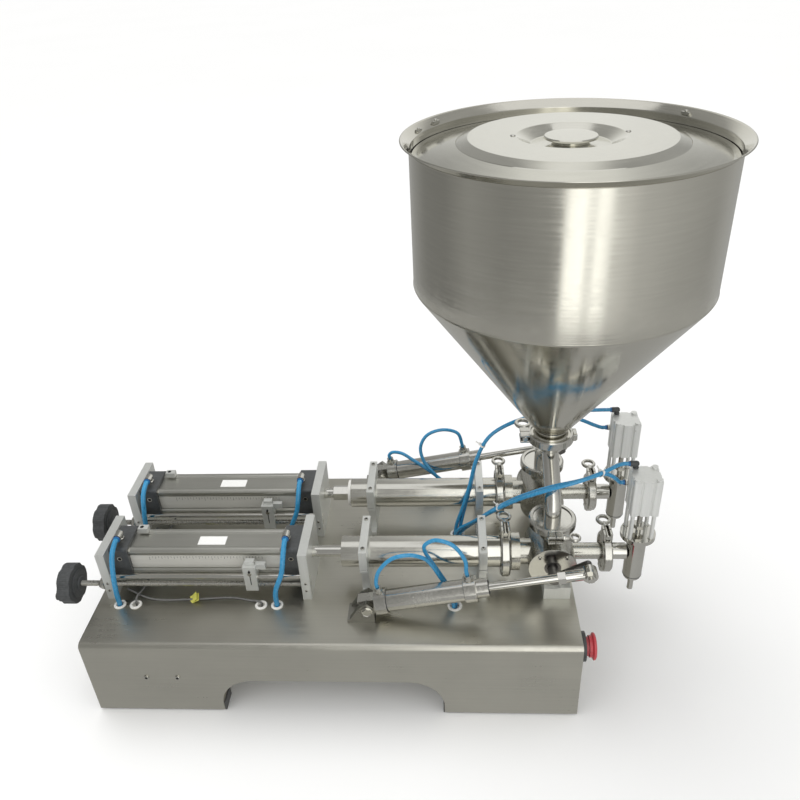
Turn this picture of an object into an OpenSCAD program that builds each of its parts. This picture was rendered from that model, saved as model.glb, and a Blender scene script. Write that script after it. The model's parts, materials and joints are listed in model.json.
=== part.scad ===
// Two-head pneumatic piston filler with a covered cone hopper.
// Millimetres. X runs along the base to the outlets, Y to the back, Z up.
// The origin is on the floor, at the centre of the base.

/* [Base] */
// Length of the base box
base_l = 750; // [700:10:900]
// Depth of the base box, front to back
base_w = 410; // [390:5:460]
// Height of the top plate above the floor
base_h = 148; // [130:1:190]
// Thickness of the bent sheet
sheet_t = 2; // [1.5:0.1:2.5]
// Outer radius of the long top bends
bend_r = 9; // [6:0.5:14]
// Gap between the sheet's lower edge and the floor
base_lift = 3; // [1:0.5:6]
// Width of the arch cut through front and back
arch_w = 346; // [260:2:400]
// Height of the arch
arch_h = 72; // [60:1:85]
// Radius of the arch's upper corners
arch_r = 54; // [20:1:54]
// Height of the rubber feet
foot_h = 18; // [14:1:24]
// Width of each foot strip
foot_w = 30; // [24:1:40]
// Length of each foot strip
foot_l = 188; // [120:2:190]
// Radius of the fixing hole in each foot
foot_hole_r = 4.2; // [3:0.1:5]

/* [Hopper] */
// Distance from the base centre to the hopper axis along X
hopper_x = 339; // [330:1:350]
// Outer radius of the hopper wall
hopper_r = 199; // [150:1:220]
// Thickness of the hopper sheet
hopper_t = 2; // [1.5:0.1:3]
// Height of the rim above the top plate
rim_up = 672; // [612:1:752]
// Height of the flared rim band
flare_h = 10; // [7:1:20]
// Outward reach of the flared rim
flare_w = 10; // [5:0.5:14]
// Height above the top plate where the straight wall ends
wall_up = 484; // [452:1:512]
// Radius of the knuckle between wall and cone
knuckle_r = 6; // [4:1:20]
// Outer radius of the neck pipe
neck_r = 25; // [22:0.5:28]
// Height above the top plate of the joint under the neck
neck_up = 226; // [217:1:237]
// Length of the neck pipe
neck_l = 14; // [10:1:20]
// Depth of the lid's edge below the rim
lid_drop = 22.5; // [22:0.5:26]
// Radius where the lid's slope meets the raised step
lid_step_r = 141; // [134:1:150]
// Radius of the raised flat top of the lid
lid_top_r = 127; // [110:1:130]
// Height of the raised flat top above the lid's edge
lid_rise = 18; // [14:0.5:20]
// Radius of the dish around the knob
dish_r = 66; // [56:1:80]
// Radius of the lid knob
knob_r = 33; // [28:1:38]
// Height of the lid knob
knob_h = 10; // [8:0.5:12]

/* [Heads] */
// Distance between the two filling heads
head_pitch = 146; // [144:1:156]
// Y of the middle between the heads
head_mid_y = 10; // [6:1:14]
// Height of the cylinder axes above the top plate
axis_up = 58; // [52:1:67]

/* [Air cylinder] */
// X of the left end plates' outer faces
plate_x = -362; // [-366:1:-355]
// X of the right end plates' left faces
plate2_x = -47; // [-52:1:-42]
// Thickness of the end plates
plate_t = 14; // [10:0.5:16]
// Width of the end plates
plate_w = 95; // [94:1:100]
// Height of the end plates
plate_h = 92; // [90:1:98]
// Side of the square end caps
cap_w = 60; // [56:1:64]
// Length of each end cap
cap_l = 29; // [24:1:34]
// Side of the profiled barrel
barrel_w = 53; // [50:1:55]
// Radius of the barrel's bore
barrel_bore_r = 21; // [16:0.5:22]
// Radius of the piston rod
rod_r = 9; // [7:0.5:10]

/* [Metering tube] */
// X of the open left end of the tube
tube_x = 15; // [10:1:25]
// X of the tube's right end face
tube_end_x = 269; // [265:1:275]
// Outer radius of the tube
tube_r = 24.5; // [22:0.5:26]
// Wall of the tube
tube_t = 2; // [1.5:0.1:3]
// X of the left bracket
bracket_x = 45.5; // [40:0.5:70]
// X of the right bracket
bracket2_x = 228; // [200:1:232]
// Thickness of the brackets
bracket_t = 12.5; // [10:0.5:15]
// Width of the brackets
bracket_w = 87; // [80:1:92]
// Height of the bracket's top above the axis
bracket_top = 35.6; // [32:0.1:38]
// Filling stroke
stroke = 180; // [120:5:185]

/* [Valve] */
// Radius of the valve body
valve_r = 36; // [34:0.5:37]
// Depth of the valve body along its axis
valve_d = 66; // [60:1:72]
// Radius of the valve's front cover
cover_r = 36.5; // [34:0.5:38]
// Thickness of the front cover
cover_t = 5; // [3:0.5:7]
// Radius of the rotor
rotor_r = 22; // [18:0.5:24]
// Radius of the rotor's shaft
shaft_r = 8; // [6:0.5:9]
// Distance from the shaft to the crank pin
crank_r = 54; // [48:0.5:56]
// Angle of the crank above the horizontal at rest
crank_deg = 30; // [25:1:35]
// Height of the joint on top of the valve above its axis
port_h = 62; // [58:1:66]

/* [Valve drive] */
// Distance of the front drive cylinder from its head's axis
drive_off = 77; // [76:1:80]
// Distance of the rear drive cylinder from its head's axis
drive_off_rear = 102; // [98:1:104]
// X of the drive cylinder's rear pivot
pivot_x = 59; // [52:1:66]
// Height of the rear pivots of the drives above the top plate
pivot_up = 24; // [20:1:28]
// Outer radius of the drive cylinder's tube
drive_r = 16.5; // [14:0.5:17]
// Radius of the drive cylinder's end caps
drive_cap_r = 20; // [18:0.5:21]
// Radius of the drive cylinder's rod
drive_rod_r = 6; // [4:0.5:6]

/* [Outlet] */
// X of the nozzle axis
nozzle_x = 469; // [460:1:480]
// Radius of the inlet, outlet and branch pipes
pipe_r = 12.7; // [10:0.1:14]
// X of the joint in the outlet pipe
outlet_x = 423; // [418:1:428]
// Radius of the nozzle body
nozzle_r = 14.5; // [14:0.5:16]
// Depth of the nozzle tips below the top plate
tip_drop = 20; // [8:1:38]
// Outer radius of the spout
spout_r = 4.5; // [4:0.5:6]
// Radius of the round flange on the nozzle
flange_r = 26; // [24:0.5:28]
// Side of the square nozzle cylinder
compact_w = 41; // [38:0.5:42]
// Height of the square nozzle cylinder
compact_h = 62; // [56:1:70]
// Travel of the nozzle's stem
stem_travel = 12; // [8:1:14]

/* [Volume adjuster] */
// Distance of the adjusting screw in front of the head's axis
screw_off = 40; // [38:0.5:42]
// Height of the adjusting screws above the top plate
screw_up = 27; // [25:0.5:30]
// Height of the guide rods above the top plate
guide_up = 42; // [40:0.5:45]
// Radius of the adjusting screw
screw_r = 4.5; // [3.5:0.5:5]
// Radius of the guide rod
guide_r = 4; // [3:0.5:4.5]
// Radius of the handwheel
wheel_r = 32; // [28:1:36]
// Thickness of the handwheel
wheel_t = 22; // [18:1:30]
// Gap between the handwheel and the end plate
wheel_gap = 45; // [30:1:50]
// Left face of the sliding stop at rest
stop_x = -135.5; // [-200:0.5:-120]
// Thickness of the sliding stop
stop_t = 20; // [16:1:24]

/* [Stop button] */
// Distance of the stop button behind the front face of the base
estop_in = 30; // [27:1:35]
// Depth of the stop button below the top plate
estop_drop = 28; // [26:1:48]
// Radius of the red mushroom head
estop_r = 20; // [16:0.5:20]
// Travel of the mushroom head
estop_travel = 5; // [3:0.5:6]

/* [Tubing] */
// Radius of the wide air tubes
hose_r = 4; // [3:0.5:4]
// Radius of the narrow air tubes
thin_hose_r = 3; // [2:0.5:3]
// Radius of the sensor cables
cable_r = 1.6; // [1:0.1:2]
// Width of the flange of each grommet
grommet_w = 4; // [3:0.5:5]
// Distance from the base centre to the grommets of the drive tubes along X
pair_x = 190.5; // [186:0.5:194]
// Distance from the base centre to the grommet of the tube bundle along X
bundle_x = 197; // [194:0.5:200]
// Radius of the hole in a grommet for one tube
grommet_hole_r = 5.5; // [5:0.1:6]

/* [Fits] */
// Clearance where separate pieces seat on each other
seat = 0.2; // [0.1:0.05:0.3]
// Radial clearance of a running fit
run = 0.05; // [0.02:0.01:0.09]
// Clearance between pieces that pass each other
pass = 0.5; // [0.4:0.1:1]

/* [Hidden] */
$fn = 64;
over = 1;
rim_z = base_h + rim_up;
wall_z = base_h + wall_up;
neck_z = base_h + neck_up;
axis_z = base_h + axis_up;
pivot_z = base_h + pivot_up;
tip_z = base_h - tip_drop;
screw_z = base_h + screw_up;
guide_z = base_h + guide_up;
estop_y = base_w / 2 - estop_in;
estop_z = base_h - estop_drop;

steel = [0.66, 0.65, 0.62];
bright = [0.78, 0.78, 0.76];
alloy = [0.8, 0.81, 0.81];
dark = [0.2, 0.22, 0.23];
blue = [0.18, 0.53, 0.75];
white = [0.93, 0.93, 0.9];

front_y = head_mid_y - head_pitch / 2;
rear_y = head_mid_y + head_pitch / 2;
// Each head is [y of its axis, side of its valve drive, distance of that drive]
front = [front_y, -1, drive_off];
rear = [rear_y, 1, drive_off_rear];
HEADS = [front, rear];

// Shares that small details take of the pieces that carry them
screw_head_r = 0.055 * cap_w;
screw_head_h = 0.6 * screw_head_r;
socket_r = 0.5 * screw_head_r;
front_screw_x_shares = [-0.757, -0.627];
front_screw_z = 0.527 * base_h;

lip_w = foot_w + sheet_t;
inner_w = base_w - 2 * sheet_t;
foot_mid_x = arch_w / 2 + foot_l / 2 - sheet_t;
foot_mid_y = base_w / 2 - sheet_t - seat - foot_w / 2;

barrel_x = plate_x + plate_t + cap_l;
barrel_end_x = plate2_x - cap_l;
cap_h_top = axis_z + cap_w / 2;
ferrule_t = 5;
clamp_w = 14;
big_ferrule_r = 1.31 * tube_r;
neck_ferrule_r = 1.2 * neck_r;
port_ferrule_r = 2.25 * pipe_r;
small_ferrule_r = 1.95 * pipe_r;
clamp_band = 6.5;

// Moves its children to a head's axis
module head(h) translate([0, h[0], 0]) children();
// Extrudes a drawing of Y and Z along X
module along_x(l) rotate([90, 0, 90]) linear_extrude(l) children();
// Extrudes a drawing of X and Z along Y
module along_y(l) translate([0, l, 0]) rotate([90, 0, 0]) linear_extrude(l) children();
module bar_x(r, l) rotate([0, 90, 0]) cylinder(r = r, h = l);
module bar_y(r, l) rotate([-90, 0, 0]) cylinder(r = r, h = l);
module ring_x(r, hole, l) difference() {
  bar_x(r, l);
  translate([-over, 0, 0]) bar_x(hole, l + 2 * over);
}
module ring_z(r, hole, l) difference() {
  cylinder(r = r, h = l);
  translate([0, 0, -over]) cylinder(r = hole, h = l + 2 * over);
}
module hex_z(r, l) cylinder(r = r, h = l, $fn = 6);
// Box centred on X and Y that stands on z = 0
module slab(x, y, z) translate([-x / 2, -y / 2, 0]) cube([x, y, z]);
module rounded_square(w, r) union() {
  square([w - 2 * r, w], center = true);
  square([w, w - 2 * r], center = true);
  for (x = [-1, 1], y = [-1, 1]) translate([x * (w / 2 - r), y * (w / 2 - r)]) circle(r);
}
// Socket screw with its head's underside at the origin, pointing down
module socket_screw() difference() {
  cylinder(r = screw_head_r, h = screw_head_h);
  translate([0, 0, screw_head_h / 2]) hex_z(socket_r, screw_head_h);
}

// A tube swept along points. Each ring of corners is square to the route.
function unit(v) = v / norm(v);
function heading(p, i) = unit(p[min(i + 1, len(p) - 1)] - p[max(i - 1, 0)]);
function side_of(d) = unit(cross(d, abs(d[2]) > 0.9 ? [0, 1, 0] : [0, 0, 1]));
// The side is carried along the route, so that the tube does not twist
function carried(d, s) = unit(s - d * (s * d));
function sides(p, i = 0, s = undef, out = []) =
  i == len(p) ? out
  : let (d = heading(p, i), n = carried(d, s == undef ? side_of(d) : s))
    sides(p, i + 1, n, concat(out, [n]));
module swept(p, r, n = 8) {
  sd = sides(p);
  corners = [for (i = [0:len(p) - 1]) let (d = heading(p, i), a = sd[i], b = cross(d, a))
    for (k = [0:n - 1]) p[i] + r * (cos(360 * k / n) * a + sin(360 * k / n) * b)];
  last = (len(p) - 1) * n;
  faces = concat(
    [[for (k = [0:n - 1]) k]],
    [for (i = [0:len(p) - 2], k = [0:n - 1])
      let (a = i * n + k, b = i * n + (k + 1) % n) [a, a + n, b + n, b]],
    [[for (k = [n - 1:-1:0]) last + k]]);
  polyhedron(corners, faces, convexity = 8);
}

// Base

module arch_outline() {
  translate([-arch_w / 2, -over]) square([arch_w, arch_h - arch_r + over]);
  translate([-arch_w / 2 + arch_r, -over]) square([arch_w - 2 * arch_r, arch_h + over]);
  for (s = [-1, 1]) translate([s * (arch_w / 2 - arch_r), arch_h - arch_r]) circle(arch_r);
}
// Arch-topped outline of the bent sheet: w wide, from z = 0 up to h
module box_outline(w, h, r) {
  translate([-w / 2, 0]) square([w, h - r]);
  translate([-w / 2 + r, 0]) square([w - 2 * r, h]);
  for (s = [-1, 1]) translate([s * (w / 2 - r), h - r]) circle(r);
}
// Places on the top plate where tubes or a cable pass through, as [x, y, radius]
main_hole_x_shares = [-0.451, -0.417, -0.149, -0.115];
main_holes = [for (h = HEADS, k = main_hole_x_shares) [k * base_l, h[0] - cap_w, grommet_hole_r]];
pair_hole_r = 2.4 * thin_hose_r;
bundle_hole_r = 2.8 * thin_hose_r;
drive_holes = [for (h = HEADS) [pair_x, h[0] + h[1] * cap_w, pair_hole_r]];
bundle_hole = [bundle_x, head_mid_y + 0.517 * cap_w, bundle_hole_r];
HOLES = concat(main_holes, drive_holes, [bundle_hole]);
air_inlet_x = -0.3 * base_l;
air_inlet_z = 0.6 * base_h;
air_inlet_r = 0.07 * base_h;

module base_shell() color(steel) difference() {
  union() {
    translate([-base_l / 2, 0, 0]) along_x(base_l) difference() {
      translate([0, base_lift]) box_outline(base_w, base_h - base_lift, bend_r);
      translate([0, -over]) box_outline(inner_w, base_h - sheet_t + over, bend_r - sheet_t);
    }
    // Lips along the lower edges, which the feet carry
    for (s = [-1, 1])
      translate([-base_l / 2 + 2 * sheet_t, s * (base_w / 2 - lip_w / 2 - sheet_t / 2), foot_h])
        translate([0, -lip_w / 2, 0]) cube([base_l - 4 * sheet_t, lip_w, sheet_t]);
  }
  translate([0, -base_w / 2 - over, 0]) along_y(base_w + 2 * over) arch_outline();
  for (x = [-1, 1], y = [-1, 1]) translate([x * foot_mid_x, y * foot_mid_y, foot_h - over])
    cylinder(r = foot_hole_r, h = sheet_t + 2 * over);
  for (p = HOLES) translate([p[0], p[1], base_h - 2 * sheet_t]) cylinder(r = p[2] + sheet_t, h = 4 * sheet_t);
  for (k = front_screw_x_shares) translate([k * base_l / 2, -base_w / 2 - over, front_screw_z])
    bar_y(socket_r + seat, 2 * sheet_t + over);
  translate([air_inlet_x, base_w / 2 - 2 * sheet_t, air_inlet_z]) bar_y(air_inlet_r + seat, 4 * sheet_t);
}
module base_ends() color(steel) for (s = [-1, 1]) difference() {
  translate([s * (base_l / 2 - sheet_t / 2) - sheet_t / 2, 0, base_lift]) along_x(sheet_t)
    box_outline(inner_w - 2 * seat, base_h - sheet_t - base_lift - seat, bend_r - sheet_t);
  if (s > 0)
    translate([base_l / 2 - 2 * sheet_t, -estop_y, estop_z]) bar_x(estop_barrel_r + seat, 4 * sheet_t);
}
module feet() color(dark) for (x = [-1, 1], y = [-1, 1])
  translate([x * foot_mid_x, y * foot_mid_y, 0]) difference() {
    slab(foot_l, foot_w, foot_h);
    translate([0, 0, -over]) cylinder(r = foot_hole_r, h = foot_h + 2 * over);
  }
module grommets() color(white) for (p = HOLES) translate([p[0], p[1], base_h]) difference() {
  union() {
    cylinder(r = p[2] + grommet_w, h = sheet_t);
    translate([0, 0, -1.5 * sheet_t]) cylinder(r = p[2] + sheet_t - seat, h = 1.5 * sheet_t);
  }
  translate([0, 0, -2 * sheet_t]) cylinder(r = p[2], h = 4 * sheet_t);
}
air_valve_l = 0.2 * base_l;
air_valve_w = 0.22 * base_w;
air_valve_h = 0.2 * base_h;
solenoid_shares = [-0.33, 0, 0.33];
module air_valves() color(alloy) {
  translate([0, head_mid_y - air_valve_w, base_h - sheet_t - air_valve_h]) {
    slab(air_valve_l, air_valve_w, air_valve_h);
    for (k = solenoid_shares) translate([k * air_valve_l, 0, -air_valve_h])
      slab(0.25 * air_valve_l, 0.8 * air_valve_w, air_valve_h);
  }
}
control_l = 0.16 * base_l;
control_w = 0.25 * base_w;
control_h = 0.36 * base_h;
module control_box() color(dark)
  translate([0.33 * base_l, head_mid_y - 0.3 * control_w, base_h - sheet_t - control_h])
    slab(control_l, control_w, control_h);
// Bulkhead fitting where the compressed air comes in
module air_inlet() color(bright) translate([air_inlet_x, base_w / 2, air_inlet_z]) difference() {
  union() {
    rotate([-90, 0, 0]) hex_z(1.5 * air_inlet_r, 0.6 * air_inlet_r);
    bar_y(air_inlet_r, 1.8 * air_inlet_r);
    translate([0, -2 * air_inlet_r, 0]) bar_y(air_inlet_r, 2 * air_inlet_r);
    translate([0, -sheet_t - 0.6 * air_inlet_r, 0]) rotate([-90, 0, 0])
      hex_z(1.5 * air_inlet_r, 0.6 * air_inlet_r);
  }
  translate([0, -2 * air_inlet_r - over, 0]) bar_y(air_inlet_hole_r, 4 * air_inlet_r + 2 * over);
}
air_inlet_hole_r = 5;

// Air cylinders

plate_hole_r = rod_r + 3 * pass;
module end_plate(x, bore) difference() {
  translate([x, -plate_w / 2, base_h]) cube([plate_t, plate_w, plate_h]);
  translate([x - over, 0, axis_z]) bar_x(bore, plate_t + 2 * over);
  translate([x - over, -screw_off, screw_z]) bar_x(screw_r + run, plate_t + 2 * over);
  translate([x - over, -screw_off, guide_z]) bar_x(guide_r + run, plate_t + 2 * over);
}
module left_plates() color(alloy) for (h = HEADS) head(h) end_plate(plate_x, plate_hole_r);
module right_plates() color(alloy) for (h = HEADS) head(h) end_plate(plate2_x, rod_r + pass);
// Square cap with bevelled edges and a bore for what passes through it
module end_cap(x, hole) difference() {
  translate([x, 0, axis_z]) along_x(cap_l) rounded_square(cap_w, 0.08 * cap_w);
  translate([x - over, 0, axis_z]) bar_x(hole, cap_l + 2 * over);
}
module cylinder_caps() color(dark) for (h = HEADS) head(h) {
  end_cap(plate_x + plate_t, plate_hole_r);
  end_cap(barrel_end_x, rod_r + pass);
}
rail_r = 0.12 * barrel_w;
// Profiled barrel: a square tube with a rail along each edge
module barrel(h) color(alloy) head(h) difference() {
  translate([barrel_x, 0, axis_z]) along_x(barrel_end_x - barrel_x) union() {
    square(barrel_w - rail_r, center = true);
    for (y = [-1, 1], z = [-1, 1])
      translate([y * (barrel_w / 2 - rail_r), z * (barrel_w / 2 - rail_r)]) circle(rail_r);
  }
  translate([barrel_x - over, 0, axis_z]) bar_x(barrel_bore_r, barrel_end_x - barrel_x + 2 * over);
}
module guide_rods() color(bright) for (h = HEADS) head(h)
  translate([plate_x, -screw_off, guide_z]) bar_x(guide_r, plate2_x + plate_t - plate_x);
sensor_l = 0.3 * barrel_w;
sensor_w = 0.2 * barrel_w;
// Fixed end switches on the rear top rails
module end_sensors() color(bright) for (h = HEADS) head(h)
  translate([barrel_x + 0.8 * sensor_l, barrel_w / 2 - 0.8 * sensor_w, axis_z + barrel_w / 2 + seat])
    difference() {
      slab(sensor_l, sensor_w, 0.8 * sensor_w);
      translate([-0.1 * sensor_l, 0, 0.4 * sensor_w]) cylinder(r = 0.2 * sensor_w, h = sensor_w);
    }

// Places of the moving pistons at rest: the front one stands forward, the rear one back
piston_face_x = tube_end_x - 2.2 * tube_r;
piston_rest_shares = [0.94, 0.08];
piston_l = 1.6 * tube_r;
coupling_l = 1.1 * tube_r;
coupling_r = 1.5 * rod_r;
air_piston_t = 0.9 * barrel_bore_r;
air_piston_x = barrel_end_x - 1.4 * air_piston_t;
function rest_share(h) = h[1] < 0 ? piston_rest_shares[0] : piston_rest_shares[1];
// How far a head's pistons stand back from their foremost place
function setback(h) = (1 - rest_share(h)) * stroke;

module piston_rod(h) color(bright) head(h) translate([-setback(h), 0, axis_z]) {
  translate([air_piston_x - air_piston_t, 0, 0])
    bar_x(rod_r, piston_face_x - piston_l - air_piston_x + air_piston_t);
  translate([piston_face_x - piston_l - coupling_l, 0, 0]) rotate([0, 90, 0]) hex_z(coupling_r, coupling_l);
}
module pistons(h) color(white) head(h) translate([-setback(h), 0, axis_z]) {
  translate([piston_face_x - piston_l, 0, 0]) difference() {
    bar_x(tube_r - tube_t - run, piston_l);
    for (k = [0.25, 0.7])
      translate([k * piston_l, 0, 0]) ring_x(tube_r, tube_r - 1.5 * tube_t, 0.1 * piston_l);
  }
  translate([air_piston_x - air_piston_t, 0, 0]) ring_x(barrel_bore_r - run, rod_r, air_piston_t);
}

// Metering tubes and their brackets

module metering_tube(h) color(bright) head(h) translate([tube_x, 0, axis_z]) difference() {
  union() {
    bar_x(tube_r, tube_end_x - tube_x);
    translate([tube_end_x - tube_x - ferrule_t, 0, 0]) bar_x(big_ferrule_r, ferrule_t);
  }
  translate([-over, 0, 0]) bar_x(tube_r - tube_t, tube_end_x - tube_x + 2 * over);
}
bracket_split = 0.6;
bracket_low = 6;
stem_w = 0.34 * bracket_w;
module bracket(x) translate([x, 0, 0]) {
  // Upper half
  difference() {
    translate([0, -bracket_w / 2, axis_z + bracket_split / 2])
      cube([bracket_t, bracket_w, bracket_top - bracket_split / 2]);
    translate([-over, 0, axis_z]) bar_x(tube_r + seat, bracket_t + 2 * over);
  }
  // Lower half on its stem and foot
  difference() {
    union() {
      translate([0, -bracket_w / 2, axis_z - bracket_low])
        cube([bracket_t, bracket_w, bracket_low - bracket_split / 2]);
      translate([0, -stem_w, base_h]) cube([bracket_t, 2 * stem_w, axis_z - bracket_low - base_h]);
      translate([0, -bracket_w / 2, base_h]) cube([bracket_t, bracket_w, bracket_low]);
    }
    translate([-over, 0, axis_z]) bar_x(tube_r + seat, bracket_t + 2 * over);
  }
}
module tube_brackets() color(alloy) for (h = HEADS) head(h) {
  bracket(bracket_x);
  bracket(bracket2_x);
}

// Clamp ring around two ferrules, closed by a bolt with a wing nut.
// Its axis is Z, its bolt is on the -X side and the nut points to +Y.
// The eye of the nut is k times the usual size and is turned by a.
module clamp_bolt(r, k, a) {
  bolt_r = 0.42 * clamp_band;
  ear = 1.5 * clamp_band;
  translate([-r - 0.45 * ear, 0, 0]) {
    translate([0, -1.2 * ear, 0]) bar_y(bolt_r, 3.9 * ear);
    translate([0, 1.15 * ear + seat, 0]) bar_y(0.62 * ear, 0.9 * ear);
    // Eye of the wing nut, around the bolt's end
    translate([0, (1.95 + 0.95 * k) * ear, 0]) rotate([0, a, 0]) difference() {
      cylinder(r = 0.95 * k * ear, h = 0.6 * ear, center = true);
      cylinder(r = 0.5 * k * ear, h = ear, center = true);
    }
  }
}
module clamp_half(r, ferrule_r) {
  ear = 1.5 * clamp_band;
  difference() {
    union() {
      cylinder(r = r, h = clamp_w, center = true);
      translate([-r - 0.45 * ear, 0, 0]) cube([1.5 * ear, 2.3 * ear, clamp_w], center = true);
      translate([r + 0.1 * ear, 0, 0]) cube([ear, 1.8 * ear, clamp_w], center = true);
    }
    cylinder(r = ferrule_r + seat, h = clamp_w + 2 * over, center = true);
    translate([-r - 0.45 * ear, -2 * ear, 0]) bar_y(0.42 * clamp_band + seat, 4 * ear);
    translate([-2 * r, -2 * r, -clamp_w]) cube([4 * r, 2 * r + bracket_split / 2, 2 * clamp_w]);
  }
}
module tri_clamp(r, ferrule_r, k = 1, a = 0) {
  clamp_half(r, ferrule_r);
  mirror([0, 1, 0]) clamp_half(r, ferrule_r);
  clamp_bolt(r, k, a);
}
eye_share = 1.3;
neck_eye_share = 1.45;
big_clamp_r = big_ferrule_r + clamp_band;
neck_clamp_r = neck_ferrule_r + 0.7 * clamp_band;
port_clamp_r = port_ferrule_r + clamp_band;
small_clamp_r = small_ferrule_r + clamp_band;
// Turns a clamp so that its axis is X and its bolt is on top
module clamp_on_x(x) translate([x, 0, axis_z]) rotate([0, 90, 0]) children();
module tube_clamps() color(bright) for (h = HEADS) head(h) clamp_on_x(tube_end_x)
  tri_clamp(big_clamp_r, big_ferrule_r, eye_share, 90);

// Rotary valves. Local drawing has the drive side at -Y; the rear head is mirrored.

module drive_side(h) head(h) mirror([0, h[1] > 0 ? 1 : 0, 0]) children();
collar_l = 2.2 * bracket_low;
collar_x = tube_end_x + clamp_w / 2 + 0.4 * ferrule_t;
port_r = 1.3 * pipe_r;
bore_r = 0.75 * pipe_r;
module valve_body(h) color(steel) drive_side(h) difference() {
  union() {
    translate([hopper_x, -valve_d / 2, axis_z]) bar_y(valve_r, valve_d);
    // Left port with its collar and ferrule
    translate([tube_end_x, 0, axis_z]) bar_x(0.82 * tube_r, hopper_x - tube_end_x);
    translate([tube_end_x, 0, axis_z]) bar_x(big_ferrule_r, ferrule_t);
    translate([collar_x, 0, axis_z]) bar_x(1.2 * tube_r, collar_l);
    // Top port
    translate([hopper_x, 0, axis_z]) cylinder(r = port_r, h = port_h);
    translate([hopper_x, 0, axis_z + port_h - ferrule_t]) cylinder(r = port_ferrule_r, h = ferrule_t);
    // Right port
    translate([hopper_x, 0, axis_z]) bar_x(pipe_r, outlet_x - hopper_x);
    translate([outlet_x - ferrule_t, 0, axis_z]) bar_x(small_ferrule_r, ferrule_t);
  }
  translate([hopper_x, -valve_d / 2 - over, axis_z]) bar_y(rotor_r + run, valve_d - cover_t + over);
  translate([tube_end_x - over, 0, axis_z]) bar_x(bore_r, outlet_x - tube_end_x + 2 * over);
  translate([hopper_x, 0, axis_z]) cylinder(r = bore_r, h = port_h + over);
}
module valve_covers() color(bright) for (h = HEADS) drive_side(h)
  translate([hopper_x, -valve_d / 2 - cover_t, axis_z]) difference() {
    bar_y(cover_r, cover_t);
    translate([0, -over, 0]) bar_y(shaft_r + run, cover_t + 2 * over);
  }
stand_w = 41;
stand_h = 24;
module valve_stands() color(alloy) for (h = HEADS) drive_side(h) difference() {
  translate([hopper_x + 0.2 * stand_w - stand_w / 2, -valve_d / 2 - cover_t - 0.3 * stand_h, base_h])
    cube([stand_w, valve_d, stand_h]);
  translate([hopper_x, -valve_d, axis_z]) bar_y(cover_r + seat, 2 * valve_d);
}
crank_back = 0.75 * drive_cap_r;
crank_t = 0.3 * drive_cap_r;
crank_w = 1.5 * shaft_r;
module crank(h) color(steel) drive_side(h) translate([hopper_x, 0, axis_z]) {
  difference() {
    translate([0, -valve_d / 2 + seat, 0]) bar_y(rotor_r, valve_d - cover_t - 2 * seat);
    bar_x(bore_r, 2 * rotor_r);
    cylinder(r = bore_r, h = 2 * rotor_r);
  }
  translate([0, crank_back - h[2], 0]) bar_y(shaft_r, h[2] - crank_back - valve_d / 2 + 2 * seat);
  translate([0, crank_back - h[2], 0]) rotate([0, -crank_deg, 0]) along_y(crank_t) {
    circle(1.4 * shaft_r);
    translate([0, -crank_w / 2]) square([crank_r, crank_w]);
    translate([crank_r, 0]) circle(crank_w / 2);
  }
}
// The drive cylinder's line runs from its pivot to the crank pin
pin_x = hopper_x + crank_r * cos(crank_deg);
pin_z = axis_z + crank_r * sin(crank_deg);
drive_deg = atan2(pin_z - pivot_z, pin_x - pivot_x);
drive_l = norm([pin_x - pivot_x, pin_z - pivot_z]);
module on_drive(h) drive_side(h) translate([pivot_x, -h[2], pivot_z]) rotate([0, -drive_deg, 0]) children();
tongue_w = 0.85 * drive_cap_r;
pivot_r = 0.3 * drive_cap_r;
ear_t = 0.4 * drive_cap_r;
ear_y = tongue_w / 2 + pass;
module drive_brackets() color(steel) for (h = HEADS) drive_side(h) translate([pivot_x, -h[2], 0]) {
  difference() {
    union() {
      translate([-1.55 * drive_cap_r, -ear_y - ear_t, base_h])
        cube([2.1 * drive_cap_r, 2 * (ear_y + ear_t), 0.3 * drive_cap_r]);
      for (y = [-ear_y - ear_t, ear_y]) translate([0, y, 0]) along_y(ear_t)
        polygon([
          [-1.55 * drive_cap_r, base_h], [0.55 * drive_cap_r, base_h],
          [0.5 * drive_cap_r, pivot_z + 0.3 * drive_cap_r], [0, pivot_z + 0.75 * drive_cap_r],
          [-0.6 * drive_cap_r, pivot_z + 0.3 * drive_cap_r]]);
    }
    translate([0, -ear_y - 2 * ear_t, pivot_z]) bar_y(pivot_r + run, 2 * ear_y + 4 * ear_t);
  }
}
drive_tail = 0.65 * drive_cap_r;
drive_cap_l = 0.9 * drive_cap_r;
drive_tube_x = drive_tail + drive_cap_l;
drive_tube_l = 0.355 * drive_l;
drive_nose_x = drive_tube_x + drive_tube_l;
drive_nose_l = 0.9 * drive_cap_r;
drive_bore_r = drive_r - sheet_t;
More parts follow.
